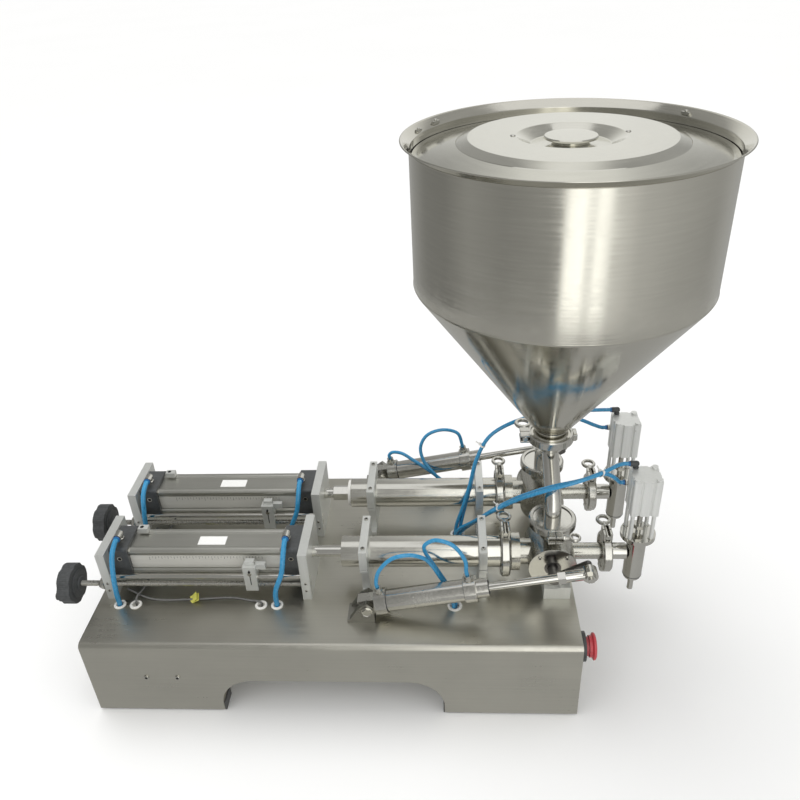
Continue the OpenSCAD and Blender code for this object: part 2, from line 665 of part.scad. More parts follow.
module drive_cylinder(h) color(bright) on_drive(h) difference() {
  union() {
    // Tongue and its pivot pin
    translate([-drive_tail, -tongue_w / 2, -drive_tail])
      cube([2 * drive_tail + seat, tongue_w, 2 * drive_tail]);
    translate([0, -ear_y - ear_t - 0.3 * ear_t, 0]) bar_y(pivot_r, 2 * (ear_y + 1.3 * ear_t));
    translate([drive_tail, 0, 0]) bar_x(drive_cap_r, drive_cap_l);
    translate([drive_tube_x - seat, 0, 0]) bar_x(drive_r, drive_tube_l + 2 * seat);
    translate([drive_nose_x, 0, 0]) bar_x(drive_cap_r, drive_cap_l);
    translate([drive_nose_x + drive_cap_l - seat, 0, 0]) bar_x(0.7 * drive_cap_r, drive_nose_l);
    // Ports on top of the caps
    for (x = [drive_tail + drive_cap_l / 2, drive_nose_x + drive_cap_l / 2])
      translate([x, 0, 0]) cylinder(r = port_nut_r, h = drive_cap_r + port_nut_h);
  }
  translate([drive_tube_x, 0, 0]) bar_x(drive_bore_r, drive_tube_l);
  translate([drive_nose_x - over, 0, 0]) bar_x(drive_rod_r + run, drive_cap_l + drive_nose_l + 2 * over);
}
port_nut_r = 0.28 * drive_cap_r;
port_nut_h = 0.5 * drive_cap_r;
fork_l = 2.3 * drive_cap_r;
pin_r = 0.5 * shaft_r;
drive_piston_t = 0.6 * drive_bore_r;
module drive_rod(h) color(bright) on_drive(h) {
  translate([drive_nose_x - 1.3 * drive_piston_t, 0, 0])
    bar_x(drive_rod_r, drive_l - fork_l - drive_nose_x + 1.3 * drive_piston_t);
  translate([drive_nose_x - 1.3 * drive_piston_t, 0, 0]) bar_x(drive_bore_r - run, drive_piston_t);
  // Threaded end, fork and the bolt that stands against the crank
  translate([drive_l - fork_l, 0, 0]) rotate([0, 90, 0]) hex_z(1.7 * drive_rod_r, 0.25 * fork_l);
  translate([drive_l - 0.76 * fork_l, 0, 0]) bar_x(1.45 * drive_rod_r, 0.6 * fork_l);
  translate([drive_l, -1.25 * drive_rod_r, 0]) bar_y(1.9 * drive_rod_r, 2.5 * drive_rod_r);
  translate([drive_l, -2.6 * drive_rod_r, 0]) bar_y(pin_r, crank_back - seat - pass + 2.6 * drive_rod_r);
  translate([drive_l, -2.1 * drive_rod_r, 0]) rotate([-90, 0, 0]) hex_z(1.3 * drive_rod_r, drive_rod_r);
}

// Outlets and nozzles

module outlet_pipes() color(bright) for (h = HEADS) head(h) difference() {
  union() {
    translate([outlet_x, 0, axis_z]) bar_x(small_ferrule_r, ferrule_t);
    translate([outlet_x, 0, axis_z]) bar_x(pipe_r, nozzle_x - nozzle_r - outlet_x - seat);
  }
  translate([outlet_x - over, 0, axis_z]) bar_x(bore_r, nozzle_x - outlet_x);
}
module outlet_clamps() color(bright) for (h = HEADS) head(h) clamp_on_x(outlet_x)
  tri_clamp(small_clamp_r, small_ferrule_r, eye_share, 90);
nozzle_top_z = 1.155 * axis_z;
flange_t = 0.28 * flange_r;
nozzle_bottom_z = 0.78 * axis_z;
nozzle_bore_r = 0.62 * nozzle_r;
spout_hole_r = 0.65 * spout_r;
stem_r = 0.28 * nozzle_r;
module nozzle_body(h) color(bright) head(h) translate([nozzle_x, 0, 0]) difference() {
  union() {
    translate([0, 0, nozzle_bottom_z]) cylinder(r = nozzle_r, h = nozzle_top_z - nozzle_bottom_z);
    translate([0, 0, nozzle_bottom_z - 0.35 * nozzle_r]) cylinder(r = 0.9 * nozzle_r, h = 0.4 * nozzle_r);
    translate([0, 0, tip_z]) cylinder(r = spout_r, h = nozzle_bottom_z - tip_z);
    translate([0, 0, nozzle_top_z]) cylinder(r = flange_r, h = flange_t);
  }
  translate([0, 0, nozzle_bottom_z]) cylinder(r = nozzle_bore_r, h = nozzle_top_z - nozzle_bottom_z);
  translate([0, 0, tip_z - over]) cylinder(r = spout_hole_r, h = nozzle_bottom_z - tip_z + 2 * over);
  translate([0, 0, nozzle_top_z - over]) cylinder(r = stem_r + run, h = flange_t + 2 * over);
  translate([-2 * nozzle_r, 0, axis_z]) bar_x(bore_r, 2 * nozzle_r);
}
standoff_h = 0.74 * compact_h;
standoff_r = 0.075 * compact_w;
standoff_at = 0.375 * compact_w;
compact_z = nozzle_top_z + flange_t + standoff_h;
compact_bore_r = 0.36 * compact_w;
compact_wall = 0.1 * compact_h;
groove_r = 0.06 * compact_w;
module nozzle_cylinder(h) color(alloy) head(h) translate([nozzle_x, 0, compact_z]) {
  difference() {
    linear_extrude(compact_h) rounded_square(compact_w, 0.07 * compact_w);
    translate([0, 0, compact_wall]) cylinder(r = compact_bore_r, h = compact_h - 2 * compact_wall);
    translate([0, 0, -over]) cylinder(r = stem_r + run, h = compact_wall + 2 * over);
    // Grooves for switches along the sides
    for (a = [0:90:270], k = [-1, 1]) rotate([0, 0, a])
      translate([compact_w / 2, k * 0.2 * compact_w, -over]) cylinder(r = groove_r, h = compact_h + 2 * over);
  }
  for (x = [-1, 1], y = [-1, 1])
    translate([x * standoff_at, y * standoff_at, -standoff_h]) cylinder(r = standoff_r, h = standoff_h);
  // Screw heads, but for the corner where the elbow stands
  for (p = [[-1, -1], [1, -1], [1, 1]]) translate([p[0] * standoff_at, p[1] * standoff_at, compact_h])
    cylinder(r = 1.5 * standoff_r, h = standoff_r);
}
module nozzle_stem(h) color(bright) head(h) translate([nozzle_x, 0, 0]) {
  translate([0, 0, nozzle_bottom_z + seat]) cylinder(r = nozzle_bore_r - run, h = 0.5 * nozzle_r);
  translate([0, 0, nozzle_bottom_z + seat])
    cylinder(r = stem_r, h = compact_z + 2 * compact_wall - nozzle_bottom_z);
  translate([0, 0, nozzle_top_z + flange_t + 0.2 * standoff_h]) hex_z(2.2 * stem_r, 0.14 * standoff_h);
  translate([0, 0, compact_z + compact_wall + seat])
    cylinder(r = compact_bore_r - run, h = 1.5 * compact_wall);
}

// Hopper, lid and manifold

knuckle_n = 5;
// Half profile of the vessel at distance d inside its outer skin, from the neck up
function knuckle(d) = [for (i = [0:knuckle_n]) let (a = -cone_turn * (1 - i / knuckle_n))
  [hopper_r - knuckle_r + (knuckle_r - d) * cos(a), wall_z + (knuckle_r - d) * sin(a)]];
// The cone leaves the neck's top and meets the knuckle's arc
cone_base = [neck_r, neck_z + neck_l];
cone_line = [hopper_r - knuckle_r, wall_z] - cone_base;
cone_turn = 90 - atan2(cone_line[1], cone_line[0]) + asin(knuckle_r / norm(cone_line));
function cone_side(d) = concat([[neck_r - d, neck_z + neck_l + d * tan(cone_turn / 2)]], knuckle(d));
function wall_side(d) = [
  [hopper_r - d, wall_z], [hopper_r - d, rim_z - flare_h], [hopper_r + flare_w - d, rim_z]];
// Straight wall with its flared rim; the cone below is a node of its own
module hopper() color(steel) translate([hopper_x, head_mid_y, 0]) {
  difference() {
    union() {
      rotate_extrude() polygon(concat([[0, wall_z]], wall_side(0), [[0, rim_z]]));
      // Rolled edge of the rim
      translate([0, 0, rim_z - sheet_t])
        ring_z(hopper_r + flare_w + 0.5 * hopper_t, hopper_r + flare_w - 0.5 * hopper_t, sheet_t);
    }
    translate([0, 0, wall_z - over]) cylinder(r = hopper_r - hopper_t, h = 2 * over);
    rotate_extrude() polygon(concat([[0, wall_z]], wall_side(hopper_t), [[0, rim_z + over]]));
    translate([0, 0, rim_z - over]) cylinder(r = hopper_r + flare_w - hopper_t, h = 2 * over + sheet_t);
  }
  // Short pegs that carry the lid
  for (a = [45:90:315]) rotate([0, 0, a]) translate([lid_r - peg_reach, 0, lid_z - peg_r])
    bar_x(peg_r, peg_reach + hopper_r - lid_r - hopper_t / 2);
}
module hopper_cone() color(steel) translate([hopper_x, head_mid_y, 0]) difference() {
  union() {
    rotate_extrude() polygon(concat([[0, cone_base[1]]], cone_side(0), [[0, wall_z]]));
    translate([0, 0, neck_z]) cylinder(r = neck_r, h = neck_l);
    translate([0, 0, neck_z]) cylinder(r = neck_ferrule_r, h = ferrule_t);
  }
  rotate_extrude() polygon(concat(
    [[0, neck_z + neck_l]], cone_side(hopper_t), [[hopper_r - hopper_t, wall_z + over], [0, wall_z + over]]));
  translate([0, 0, neck_z - over]) cylinder(r = neck_r - hopper_t, h = 2 * neck_l + over);
}
peg_r = 2 * hopper_t;
peg_reach = 4 * hopper_t;
lid_t = 1.5;
lid_r = hopper_r - hopper_t - 2.4 * pass;
lid_z = rim_z - lid_drop;
dish_h = 0.58 * lid_rise;
// Half profile of the lid's top, from its edge to its centre, at height d above the sheet's underside
function lid_profile(d) = [
  [lid_r, lid_z + d], [0.96 * lid_r, lid_z + d], [lid_step_r, lid_z + 0.67 * lid_rise + d],
  [lid_top_r, lid_z + lid_rise + d], [dish_r, lid_z + lid_rise + d],
  [0.74 * dish_r, lid_z + lid_rise - dish_h + d], [0, lid_z + lid_rise - dish_h + d]];
module hopper_lid() color(bright) translate([hopper_x, head_mid_y, seat])
  rotate_extrude() polygon(concat(lid_profile(lid_t), [for (i = [6:-1:0]) lid_profile(0)[i]]));
knob_z = lid_z + lid_rise - dish_h + lid_t + 2 * seat;
module lid_knob() color(bright) translate([hopper_x, head_mid_y, knob_z]) {
  cylinder(r = 0.72 * knob_r, h = 0.7 * knob_h);
  translate([0, 0, 0.6 * knob_h]) cylinder(r1 = knob_r, r2 = 0.97 * knob_r, h = 0.4 * knob_h);
}
module neck_clamp() color(bright) translate([hopper_x, head_mid_y, neck_z])
  tri_clamp(neck_clamp_r, neck_ferrule_r, neck_eye_share);
branch_deg = 55;
elbow_r = 3.5 * pipe_r;
elbow_x = elbow_r * (1 - cos(branch_deg));
branch_run = head_pitch / 2 - elbow_x;
port_z = axis_z + port_h;
branch_z = port_z + ferrule_t + elbow_r * sin(branch_deg) + branch_run / tan(branch_deg) + 0.35 * pipe_r;
hub_r = 1.65 * pipe_r;
hub_z = branch_z - 0.1 * pipe_r;
// Height of the upper end of the straight pipe over a valve
leg_z = branch_z - branch_run / tan(branch_deg) - elbow_r * sin(branch_deg);
// The slanted pipes start apart from each other, inside a round knot of this outer and inner radius
knot_gap = 0.71 * pipe_r;
knot_r = 1.29 * pipe_r;
knot_hole_r = 1.13 * pipe_r;
module branch(r) {
  // Slanted pipe, elbow and straight end over a valve
  translate([0, 0, branch_z]) rotate([180 - branch_deg, 0, 0])
    translate([0, 0, knot_gap]) cylinder(r = r, h = branch_run / sin(branch_deg) - knot_gap + seat);
  translate([0, head_pitch / 2 - elbow_r, leg_z])
    rotate([90, 0, 90]) rotate_extrude(angle = branch_deg) translate([elbow_r, 0]) circle(r + 0.2 * seat);
  foot_z = port_z - (r < pipe_r ? over : 0);
  translate([0, head_pitch / 2, foot_z]) cylinder(r = r, h = leg_z - foot_z + seat);
}
module manifold() color(bright) translate([hopper_x, head_mid_y, 0]) difference() {
  union() {
    for (m = [0, 1]) mirror([0, m, 0]) {
      branch(pipe_r);
      translate([0, head_pitch / 2, port_z]) cylinder(r = port_ferrule_r, h = ferrule_t);
    }
    translate([0, 0, neck_z - clamp_w / 2]) cylinder(r = neck_ferrule_r, h = clamp_w / 2);
    translate([0, 0, neck_z - 1.4 * clamp_w]) cylinder(r1 = hub_r, r2 = neck_ferrule_r, h = 0.9 * clamp_w);
    translate([0, 0, hub_z]) cylinder(r1 = 1.34 * pipe_r, r2 = hub_r, h = neck_z - 1.4 * clamp_w - hub_z);
    translate([0, 0, branch_z]) rotate([90, 0, 0]) sphere(knot_r);
  }
  for (m = [0, 1]) mirror([0, m, 0]) branch(0.85 * pipe_r);
  translate([0, 0, branch_z]) rotate([90, 0, 0]) sphere(knot_hole_r);
  translate([0, 0, branch_z]) cylinder(r1 = 0.92 * pipe_r, r2 = 0.8 * neck_r, h = neck_z - branch_z + over);
}
module port_clamps() color(bright) for (h = HEADS) drive_side(h)
  translate([hopper_x, 0, port_z]) mirror([1, 0, 0]) rotate([0, 0, 90]) tri_clamp(port_clamp_r, port_ferrule_r);

// Handwheel, screw and sliding stop of each head

wheel_x = plate_x - wheel_gap - wheel_t;
lobe_r = 0.3 * wheel_r;
module handwheel(h) color(dark) head(h) translate([wheel_x, -screw_off, screw_z]) {
  difference() {
    union() {
      translate([0.12 * wheel_t, 0, 0]) bar_x(wheel_r, 0.76 * wheel_t);
      bar_x(0.9 * wheel_r, wheel_t);
      bar_x(0.36 * wheel_r, 1.25 * wheel_t);
    }
    // Finger hollows round the rim
    for (a = [0:60:300])
      rotate([a, 0, 0]) translate([-over, 0, 1.2 * wheel_r]) bar_x(lobe_r, wheel_t + 2 * over);
  }
  rotate([h[1] < 0 ? -60 : 60, 0, 0]) translate([-0.4 * wheel_t, 0, -0.62 * wheel_r])
    bar_x(0.24 * wheel_r, 0.5 * wheel_t);
  translate([wheel_t, 0, 0]) bar_x(screw_r, plate2_x + plate_t - wheel_x - wheel_t);
}
stop_w = 0.8 * stop_t;
stop_top = axis_z + 0.16 * barrel_w;
stop_bottom = screw_z - 0.45 * stop_t;
module stop_block(h) color(alloy) head(h) translate([stop_x, -screw_off, 0]) difference() {
  union() {
    translate([0, -0.42 * stop_w, stop_bottom]) cube([stop_t, stop_w * 0.95, stop_top - stop_bottom]);
    // Switch and its clamp, held beside the top of the block
    translate([0.2 * stop_t, -0.1 * stop_w, stop_top - seat])
      cube([0.7 * stop_t, 0.55 * stop_w, 0.45 * stop_w]);
    translate([stop_t - seat, -0.1 * stop_w, stop_top - 0.5 * stop_w])
      cube([0.75 * stop_t, 0.5 * stop_w, 0.6 * stop_w]);
  }
  translate([-over, 0, screw_z]) bar_x(screw_r + run, stop_t + 2 * over);
  translate([-over, 0, guide_z]) bar_x(guide_r + run, stop_t + 2 * over);
}

// Stop button on the right end

estop_barrel_r = 0.55 * estop_r;
estop_plate_r = 1.1 * estop_r;
estop_plate_t = 0.35 * estop_r;
module estop_body() color(dark) translate([base_l / 2, -estop_y, estop_z]) {
  difference() {
    union() {
      bar_x(estop_plate_r, estop_plate_t);
      translate([-1.6 * estop_r, 0, 0]) bar_x(estop_barrel_r, 1.6 * estop_r + over);
    }
    translate([-1.2 * estop_r, 0, 0]) bar_x(0.4 * estop_r, 2 * estop_r);
  }
  translate([-2.6 * estop_r, -0.7 * estop_r, -0.7 * estop_r]) cube([estop_r, 1.4 * estop_r, 1.4 * estop_r]);
}
estop_neck = estop_plate_t + estop_travel + pass;
module estop_button() color("red") translate([base_l / 2, -estop_y, estop_z]) {
  translate([-0.6 * estop_r, 0, 0]) bar_x(0.4 * estop_r - run, 0.6 * estop_r + estop_neck + over);
  translate([estop_neck, 0, 0]) rotate([0, 90, 0]) rotate_extrude() polygon([
    [0, 0], [0.92 * estop_r, 0], [estop_r, 0.1 * estop_r], [estop_r, 0.28 * estop_r],
    [0.85 * estop_r, 0.5 * estop_r], [0, 0.6 * estop_r]]);
}

// Small screws that show: brackets, end plates and the front of the base

module socket_screws() color(bright) {
  for (h = HEADS) head(h) {
    for (x = [bracket_x, bracket2_x], y = [-1, 1])
      translate([x + bracket_t / 2, y * 0.39 * bracket_w, axis_z + bracket_top]) socket_screw();
    for (x = [plate_x, plate2_x], z = [0.45, 0.8])
      translate([x + plate_t / 2, -plate_w / 2, base_h + z * (guide_z - base_h)])
        rotate([90, 0, 0]) scale(0.7) socket_screw();
  }
  for (k = front_screw_x_shares)
    translate([k * base_l / 2, -base_w / 2, front_screw_z]) rotate([90, 0, 0]) socket_screw();
}

// Air fittings, tubes and cables. Routes are points of the photographed runs.

elbow_body_r = 1.5 * hose_r;
elbow_rise = 1.8 * elbow_body_r;
left_port_x = plate_x + plate_t + 0.42 * cap_l;
right_port_x = plate2_x - 0.76 * cap_l;
port_off_y = -0.08 * cap_w;
elbow_reach = 2.4 * elbow_body_r;
module elbow(dir) {
  // Stud that stands up, and an arm with a socket towards dir
  hex_z(elbow_body_r, 0.7 * elbow_body_r);
  cylinder(r = 0.75 * elbow_body_r, h = elbow_rise + 0.9 * elbow_body_r);
  translate([0, 0, elbow_rise]) rotate([0, 0, dir]) bar_x(elbow_body_r, elbow_reach);
}
thin_k = thin_hose_r / hose_r;
compact_top_z = compact_z + compact_h;
compact_port_z = compact_z + 0.58 * compact_h;
module air_fittings() color(bright) for (h = HEADS) head(h) {
  for (x = [left_port_x, right_port_x]) translate([x, port_off_y, cap_h_top]) elbow(-90);
  translate([nozzle_x - 0.3 * compact_w, 0.38 * compact_w, compact_top_z]) scale(thin_k) elbow(180);
  translate([nozzle_x - compact_w / 2, 0.38 * compact_w, compact_port_z])
    rotate([0, -90, 0]) cylinder(r = thin_k * elbow_body_r, h = 1.2 * elbow_body_r);
}
socket_y = front_y + port_off_y - elbow_reach;
socket_z = cap_h_top + elbow_rise;
// Where a tube from an elbow's socket at x starts, so that it leaves square to the socket
function socket_start(x) = [for (k = [0, 1.5]) [x, socket_y - k * hose_r, socket_z]];
// How a tube reaches a socket at e that faces left, straight over the last k radii
function socket_end(e, k) = [for (j = [k, 0]) [e[0] - j * hose_r, e[1], e[2]]];
// Shares of the way from a socket to its hole, along X, Y and Z, for the tubes that drop into the base
drop_shares = [[0, 0.583, 0.911], [0.2, 0.877, 0.648], [0.96, 1, 0.283], [1, 1, -0.101]];
function drop_route(x, hole) = concat(socket_start(x), [for (k = drop_shares) [
  x + k[0] * (hole[0] - x), socket_y + k[1] * (hole[1] - socket_y), base_h + k[2] * (socket_z - base_h)]]);
left_route = drop_route(left_port_x, main_holes[0]);
right_route = drop_route(right_port_x, main_holes[3]);
// A route whose heights are given above the top plate
function on_top(route) = [for (p = route) [p[0], p[1], base_h + p[2]]];
up_route_a = on_top([
  [193.8, 44.2, -10], [193.8, 44.2, 3], [196, 46.2, 18], [206, 48, 52], [218, 53, 96], [230, 59, 148],
  [252, 67, 187], [300, 81, 208], [350, 92, 211], [400, 98, 212.6]]);
up_route_b = on_top([
  [200.2, 44.2, -10], [200.2, 44.2, 3], [203, 47.4, 18], [210, 54, 49], [220, 60, 92], [231, 65.5, 144],
  [252, 73, 182.5], [300, 86.5, 203], [350, 95, 203], [392, 99, 197], [424, 99, 183]]);
low_route_a = on_top([
  [193.8, 37.8, -10], [193.8, 37.8, 3], [200.5, 34, 18], [222, 23, 42], [250, -2, 84], [288, -45, 145],
  [330, -82, 194], [372, -82, 209], [410, -66, 214], [430, -51.5, 213.6]]);
low_route_b = on_top([
  [200.2, 37.8, -10], [200.2, 37.8, 3], [208.5, 36, 16], [227, 28.5, 39], [252, 4.5, 82],
  [290.6, -39.8, 146.2], [331.8, -74.5, 192.3], [372.5, -76, 204.8], [408, -62, 206], [420, -56, 198.5],
  [429, -51.5, 189], [433.5, -49, 182.8]]);
arm_end = [
  nozzle_x - 0.3 * compact_w - thin_k * elbow_reach, 0.38 * compact_w, compact_top_z + thin_k * elbow_rise];
side_end = [nozzle_x - compact_w / 2 - 1.2 * elbow_body_r, 0.38 * compact_w, compact_port_z];
function to_head(p, y) = [p[0], p[1] + y, p[2]];
module air_tubes() color(blue) {
  for (k = [0, 1]) translate([0, k * head_pitch, 0]) {
    swept(left_route, hose_r);
    swept(right_route, hose_r);
  }
  swept(concat(up_route_a, socket_end(to_head(arm_end, rear_y), 1.5)), thin_hose_r);
  swept(concat(up_route_b, socket_end(to_head(side_end, rear_y), 1.5)), thin_hose_r);
  swept(concat(low_route_a, socket_end(to_head(arm_end, front_y), 1.5)), thin_hose_r);
  swept(concat(low_route_b, socket_end(to_head(side_end, front_y), 1)), thin_hose_r);
}
cable_z = base_h + cable_r + seat;
over_flange_z = cable_z + sheet_t;
cable_a = [
  [-334, -95, cable_z + 3 * cable_r], [-290, -112, cable_z], [-226, -113, cable_z], [-160, -109, cable_z],
  [-127, -115.3, cable_z], [-121.8, -117, over_flange_z], [-118, -118.2, over_flange_z],
  [-113.4, -119.4, over_flange_z], [-112, -119.6, base_h], [-112, -119.6, base_h - 2.5 * hose_r]];
cable_b = concat([[-303, -72, axis_z - barrel_w / 2 - seat]], on_top([
  [-303, -77, 16], [-307, -95, 9], [-312, -113, 9], [-313, -119.6, 3], [-313, -119.6, -10]]));
module sensor_cables() color(steel) for (k = [0, 1]) translate([0, k * head_pitch, 0]) {
  swept(cable_a, cable_r);
  swept(cable_b, cable_r);
}
// Tubes of the valve drives, from the rear port and from the nose port of each, in a head's own frame
drive_port_top = drive_cap_r + port_nut_h;
// The first two points stand along the port's own line
function drive_start(h, u) = [for (w = [drive_port_top + pass, drive_port_top + pass + 1.5 * hose_r]) [
  pivot_x + u * cos(drive_deg) - w * sin(drive_deg), -h[2],
  pivot_z + u * sin(drive_deg) + w * cos(drive_deg)]];
front_drive_routes = [
  on_top([[79, -77, 88], [100, -76, 113], [126, -73, 117], [146, -68, 106], [157, -61, 86], [168, -57.3, 60],
    [182, -57.5, 30], [188.3, -62.6, 5], [188.5, -63, -10]]),
  on_top([[206, -77, 110], [188, -76, 139], [164, -72, 145], [148, -66, 130], [148, -59, 110], [157, -54.3, 86],
    [168, -50.6, 60], [182, -50.4, 30], [191.4, -56.3, 5], [192, -56.8, -10]])];
rear_drive_routes = [
  on_top([[80, -101, 71], [97, -97, 72], [118, -91, 61], [142, -82, 48], [163, -76, 33], [182, -68.2, 17],
    [188.3, -63.4, 4], [188.5, -63, -10]]),
  on_top([[200, -101.5, 112], [173, -98, 122], [145, -94, 113], [133, -89, 90], [139, -80, 65], [156, -71, 46],
    [172.5, -64.6, 27], [188.5, -58.5, 10], [191.8, -56.8, 1], [192, -56.8, -10]])];
module drive_tubes(h, routes) color(blue) drive_side(h) {
  swept(concat(drive_start(h, drive_tail + drive_cap_l / 2), routes[0]), thin_hose_r);
  swept(concat(drive_start(h, drive_nose_x + drive_cap_l / 2), routes[1]), thin_hose_r);
}

base_shell();
base_ends();
feet();
socket_screws();
grommets();
air_valves();
control_box();
air_inlet();
left_plates();
right_plates();
cylinder_caps();
barrel(front);  // barrel_front
barrel(rear);  // barrel_rear
guide_rods();
end_sensors();
tube_brackets();
metering_tube(front);  // metering_tube_front
metering_tube(rear);  // metering_tube_rear
tube_clamps();
valve_body(front);  // valve_body_front
valve_body(rear);  // valve_body_rear
valve_covers();
valve_stands();
drive_brackets();
outlet_pipes();
outlet_clamps();
nozzle_body(front);  // nozzle_body_front
nozzle_body(rear);  // nozzle_body_rear
nozzle_cylinder(front);  // nozzle_cylinder_front
nozzle_cylinder(rear);  // nozzle_cylinder_rear
hopper();
hopper_cone();
neck_clamp();
manifold();
port_clamps();
hopper_lid();
lid_knob();
estop_body();
estop_button();
air_fittings();
air_tubes();
sensor_cables();
piston_rod(front);  // piston_rod_front
piston_rod(rear);  // piston_rod_rear
pistons(front);  // pistons_front
pistons(rear);  // pistons_rear
handwheel(front);  // handwheel_front
handwheel(rear);  // handwheel_rear
stop_block(front);  // stop_block_front
stop_block(rear);  // stop_block_rear
crank(front);  // crank_front
crank(rear);  // crank_rear
drive_cylinder(front);  // drive_cylinder_front
drive_cylinder(rear);  // drive_cylinder_rear
drive_rod(front);  // drive_rod_front
drive_rod(rear);  // drive_rod_rear
nozzle_stem(front);  // nozzle_stem_front
nozzle_stem(rear);  // nozzle_stem_rear
drive_tubes(front, front_drive_routes);  // drive_tubes_front
drive_tubes(rear, rear_drive_routes);  // drive_tubes_rear
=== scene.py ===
"""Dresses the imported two-head piston filler: finishes, rounded solids and the small pieces that show.

Metres, in the CAD frame: X along the base to the outlets, Y to the back, Z up from the floor.
"""

import json
import logging
import math
from dataclasses import dataclass
from enum import Enum
from typing import Iterable, Sequence

import bmesh
import bpy
from mathutils import Matrix, Vector

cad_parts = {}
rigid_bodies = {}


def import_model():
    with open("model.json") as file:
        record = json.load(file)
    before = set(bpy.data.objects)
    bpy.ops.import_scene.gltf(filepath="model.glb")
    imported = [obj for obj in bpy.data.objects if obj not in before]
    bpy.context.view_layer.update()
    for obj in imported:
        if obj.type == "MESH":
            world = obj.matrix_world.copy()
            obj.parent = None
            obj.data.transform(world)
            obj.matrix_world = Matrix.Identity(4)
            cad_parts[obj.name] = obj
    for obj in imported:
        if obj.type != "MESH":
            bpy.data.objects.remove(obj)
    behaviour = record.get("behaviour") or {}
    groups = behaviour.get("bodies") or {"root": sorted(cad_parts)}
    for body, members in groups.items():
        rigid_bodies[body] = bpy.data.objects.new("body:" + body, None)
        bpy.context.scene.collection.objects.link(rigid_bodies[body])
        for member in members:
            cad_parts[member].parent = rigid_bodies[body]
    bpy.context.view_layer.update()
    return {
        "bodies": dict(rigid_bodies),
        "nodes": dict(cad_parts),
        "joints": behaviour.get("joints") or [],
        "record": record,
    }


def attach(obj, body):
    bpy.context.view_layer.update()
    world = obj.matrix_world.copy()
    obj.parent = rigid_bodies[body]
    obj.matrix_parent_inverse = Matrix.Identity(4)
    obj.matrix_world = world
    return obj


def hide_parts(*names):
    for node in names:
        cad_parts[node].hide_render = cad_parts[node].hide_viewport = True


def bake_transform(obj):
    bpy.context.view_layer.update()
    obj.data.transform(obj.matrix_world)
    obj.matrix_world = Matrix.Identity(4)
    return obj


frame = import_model()

LOG = logging.getLogger("filler")
Point = Sequence[float]
MACHINE = "machine"
AXIS = {"X": Vector((1, 0, 0)), "Y": Vector((0, 1, 0)), "Z": Vector((0, 0, 1))}
SIDE = {"X": Vector((0, 1, 0)), "Y": Vector((0, 0, 1)), "Z": Vector((1, 0, 0))}
ORIGIN = (0, 0, 0)
CORNERS = ((-1, -1), (-1, 1), (1, -1), (1, 1))

# Values that all finishes share: noise scales, least gloss, and depth of the relief in metres
CLOUD_SCALE = 11.0
DUST_SCALE = 95.0
LEAST_ROUGH = 0.04
COAT_ROUGH = 0.12
RELIEF_DEPTH = 0.0004
# How much the distance from the centre counts as height, so that flat lids have rings too
REACH_SHARE = 0.73


@dataclass(frozen=True)
class Layout:
    """Main places of the machine that several sub-assemblies share, in metres."""

    base_h: float = 0.148
    axis_z: float = 0.206
    mid_y: float = 0.010
    hopper_x: float = 0.339
    nozzle_x: float = 0.469
    plate_x: float = -0.362
    plate2_x: float = -0.047
    plate_t: float = 0.014
    barrel_x: float = -0.319
    barrel_end_x: float = -0.076
    tube_end_x: float = 0.269
    outlet_x: float = 0.423
    port_z: float = 0.268
    neck_z: float = 0.374
    screw_z: float = 0.175


AT = Layout()


@dataclass(frozen=True)
class Head:
    """One filling head: its name, Y of its axis, side of its valve drive and that drive's distance."""

    name: str
    y: float
    side: int
    drive: float


HEADS = (Head("front", -0.063, -1, 0.077), Head("rear", 0.083, 1, 0.102))


class Grain(Enum):
    """Which way the fine lines of a surface run, as noise scales along X, Y and Z."""

    EVEN = (240.0, 240.0, 240.0)
    ALONG_X = (7.0, 330.0, 330.0)
    ALONG_Y = (330.0, 7.0, 330.0)
    ALONG_Z = (330.0, 330.0, 7.0)
    ROUND = (2.4, 330.0, 0.0)


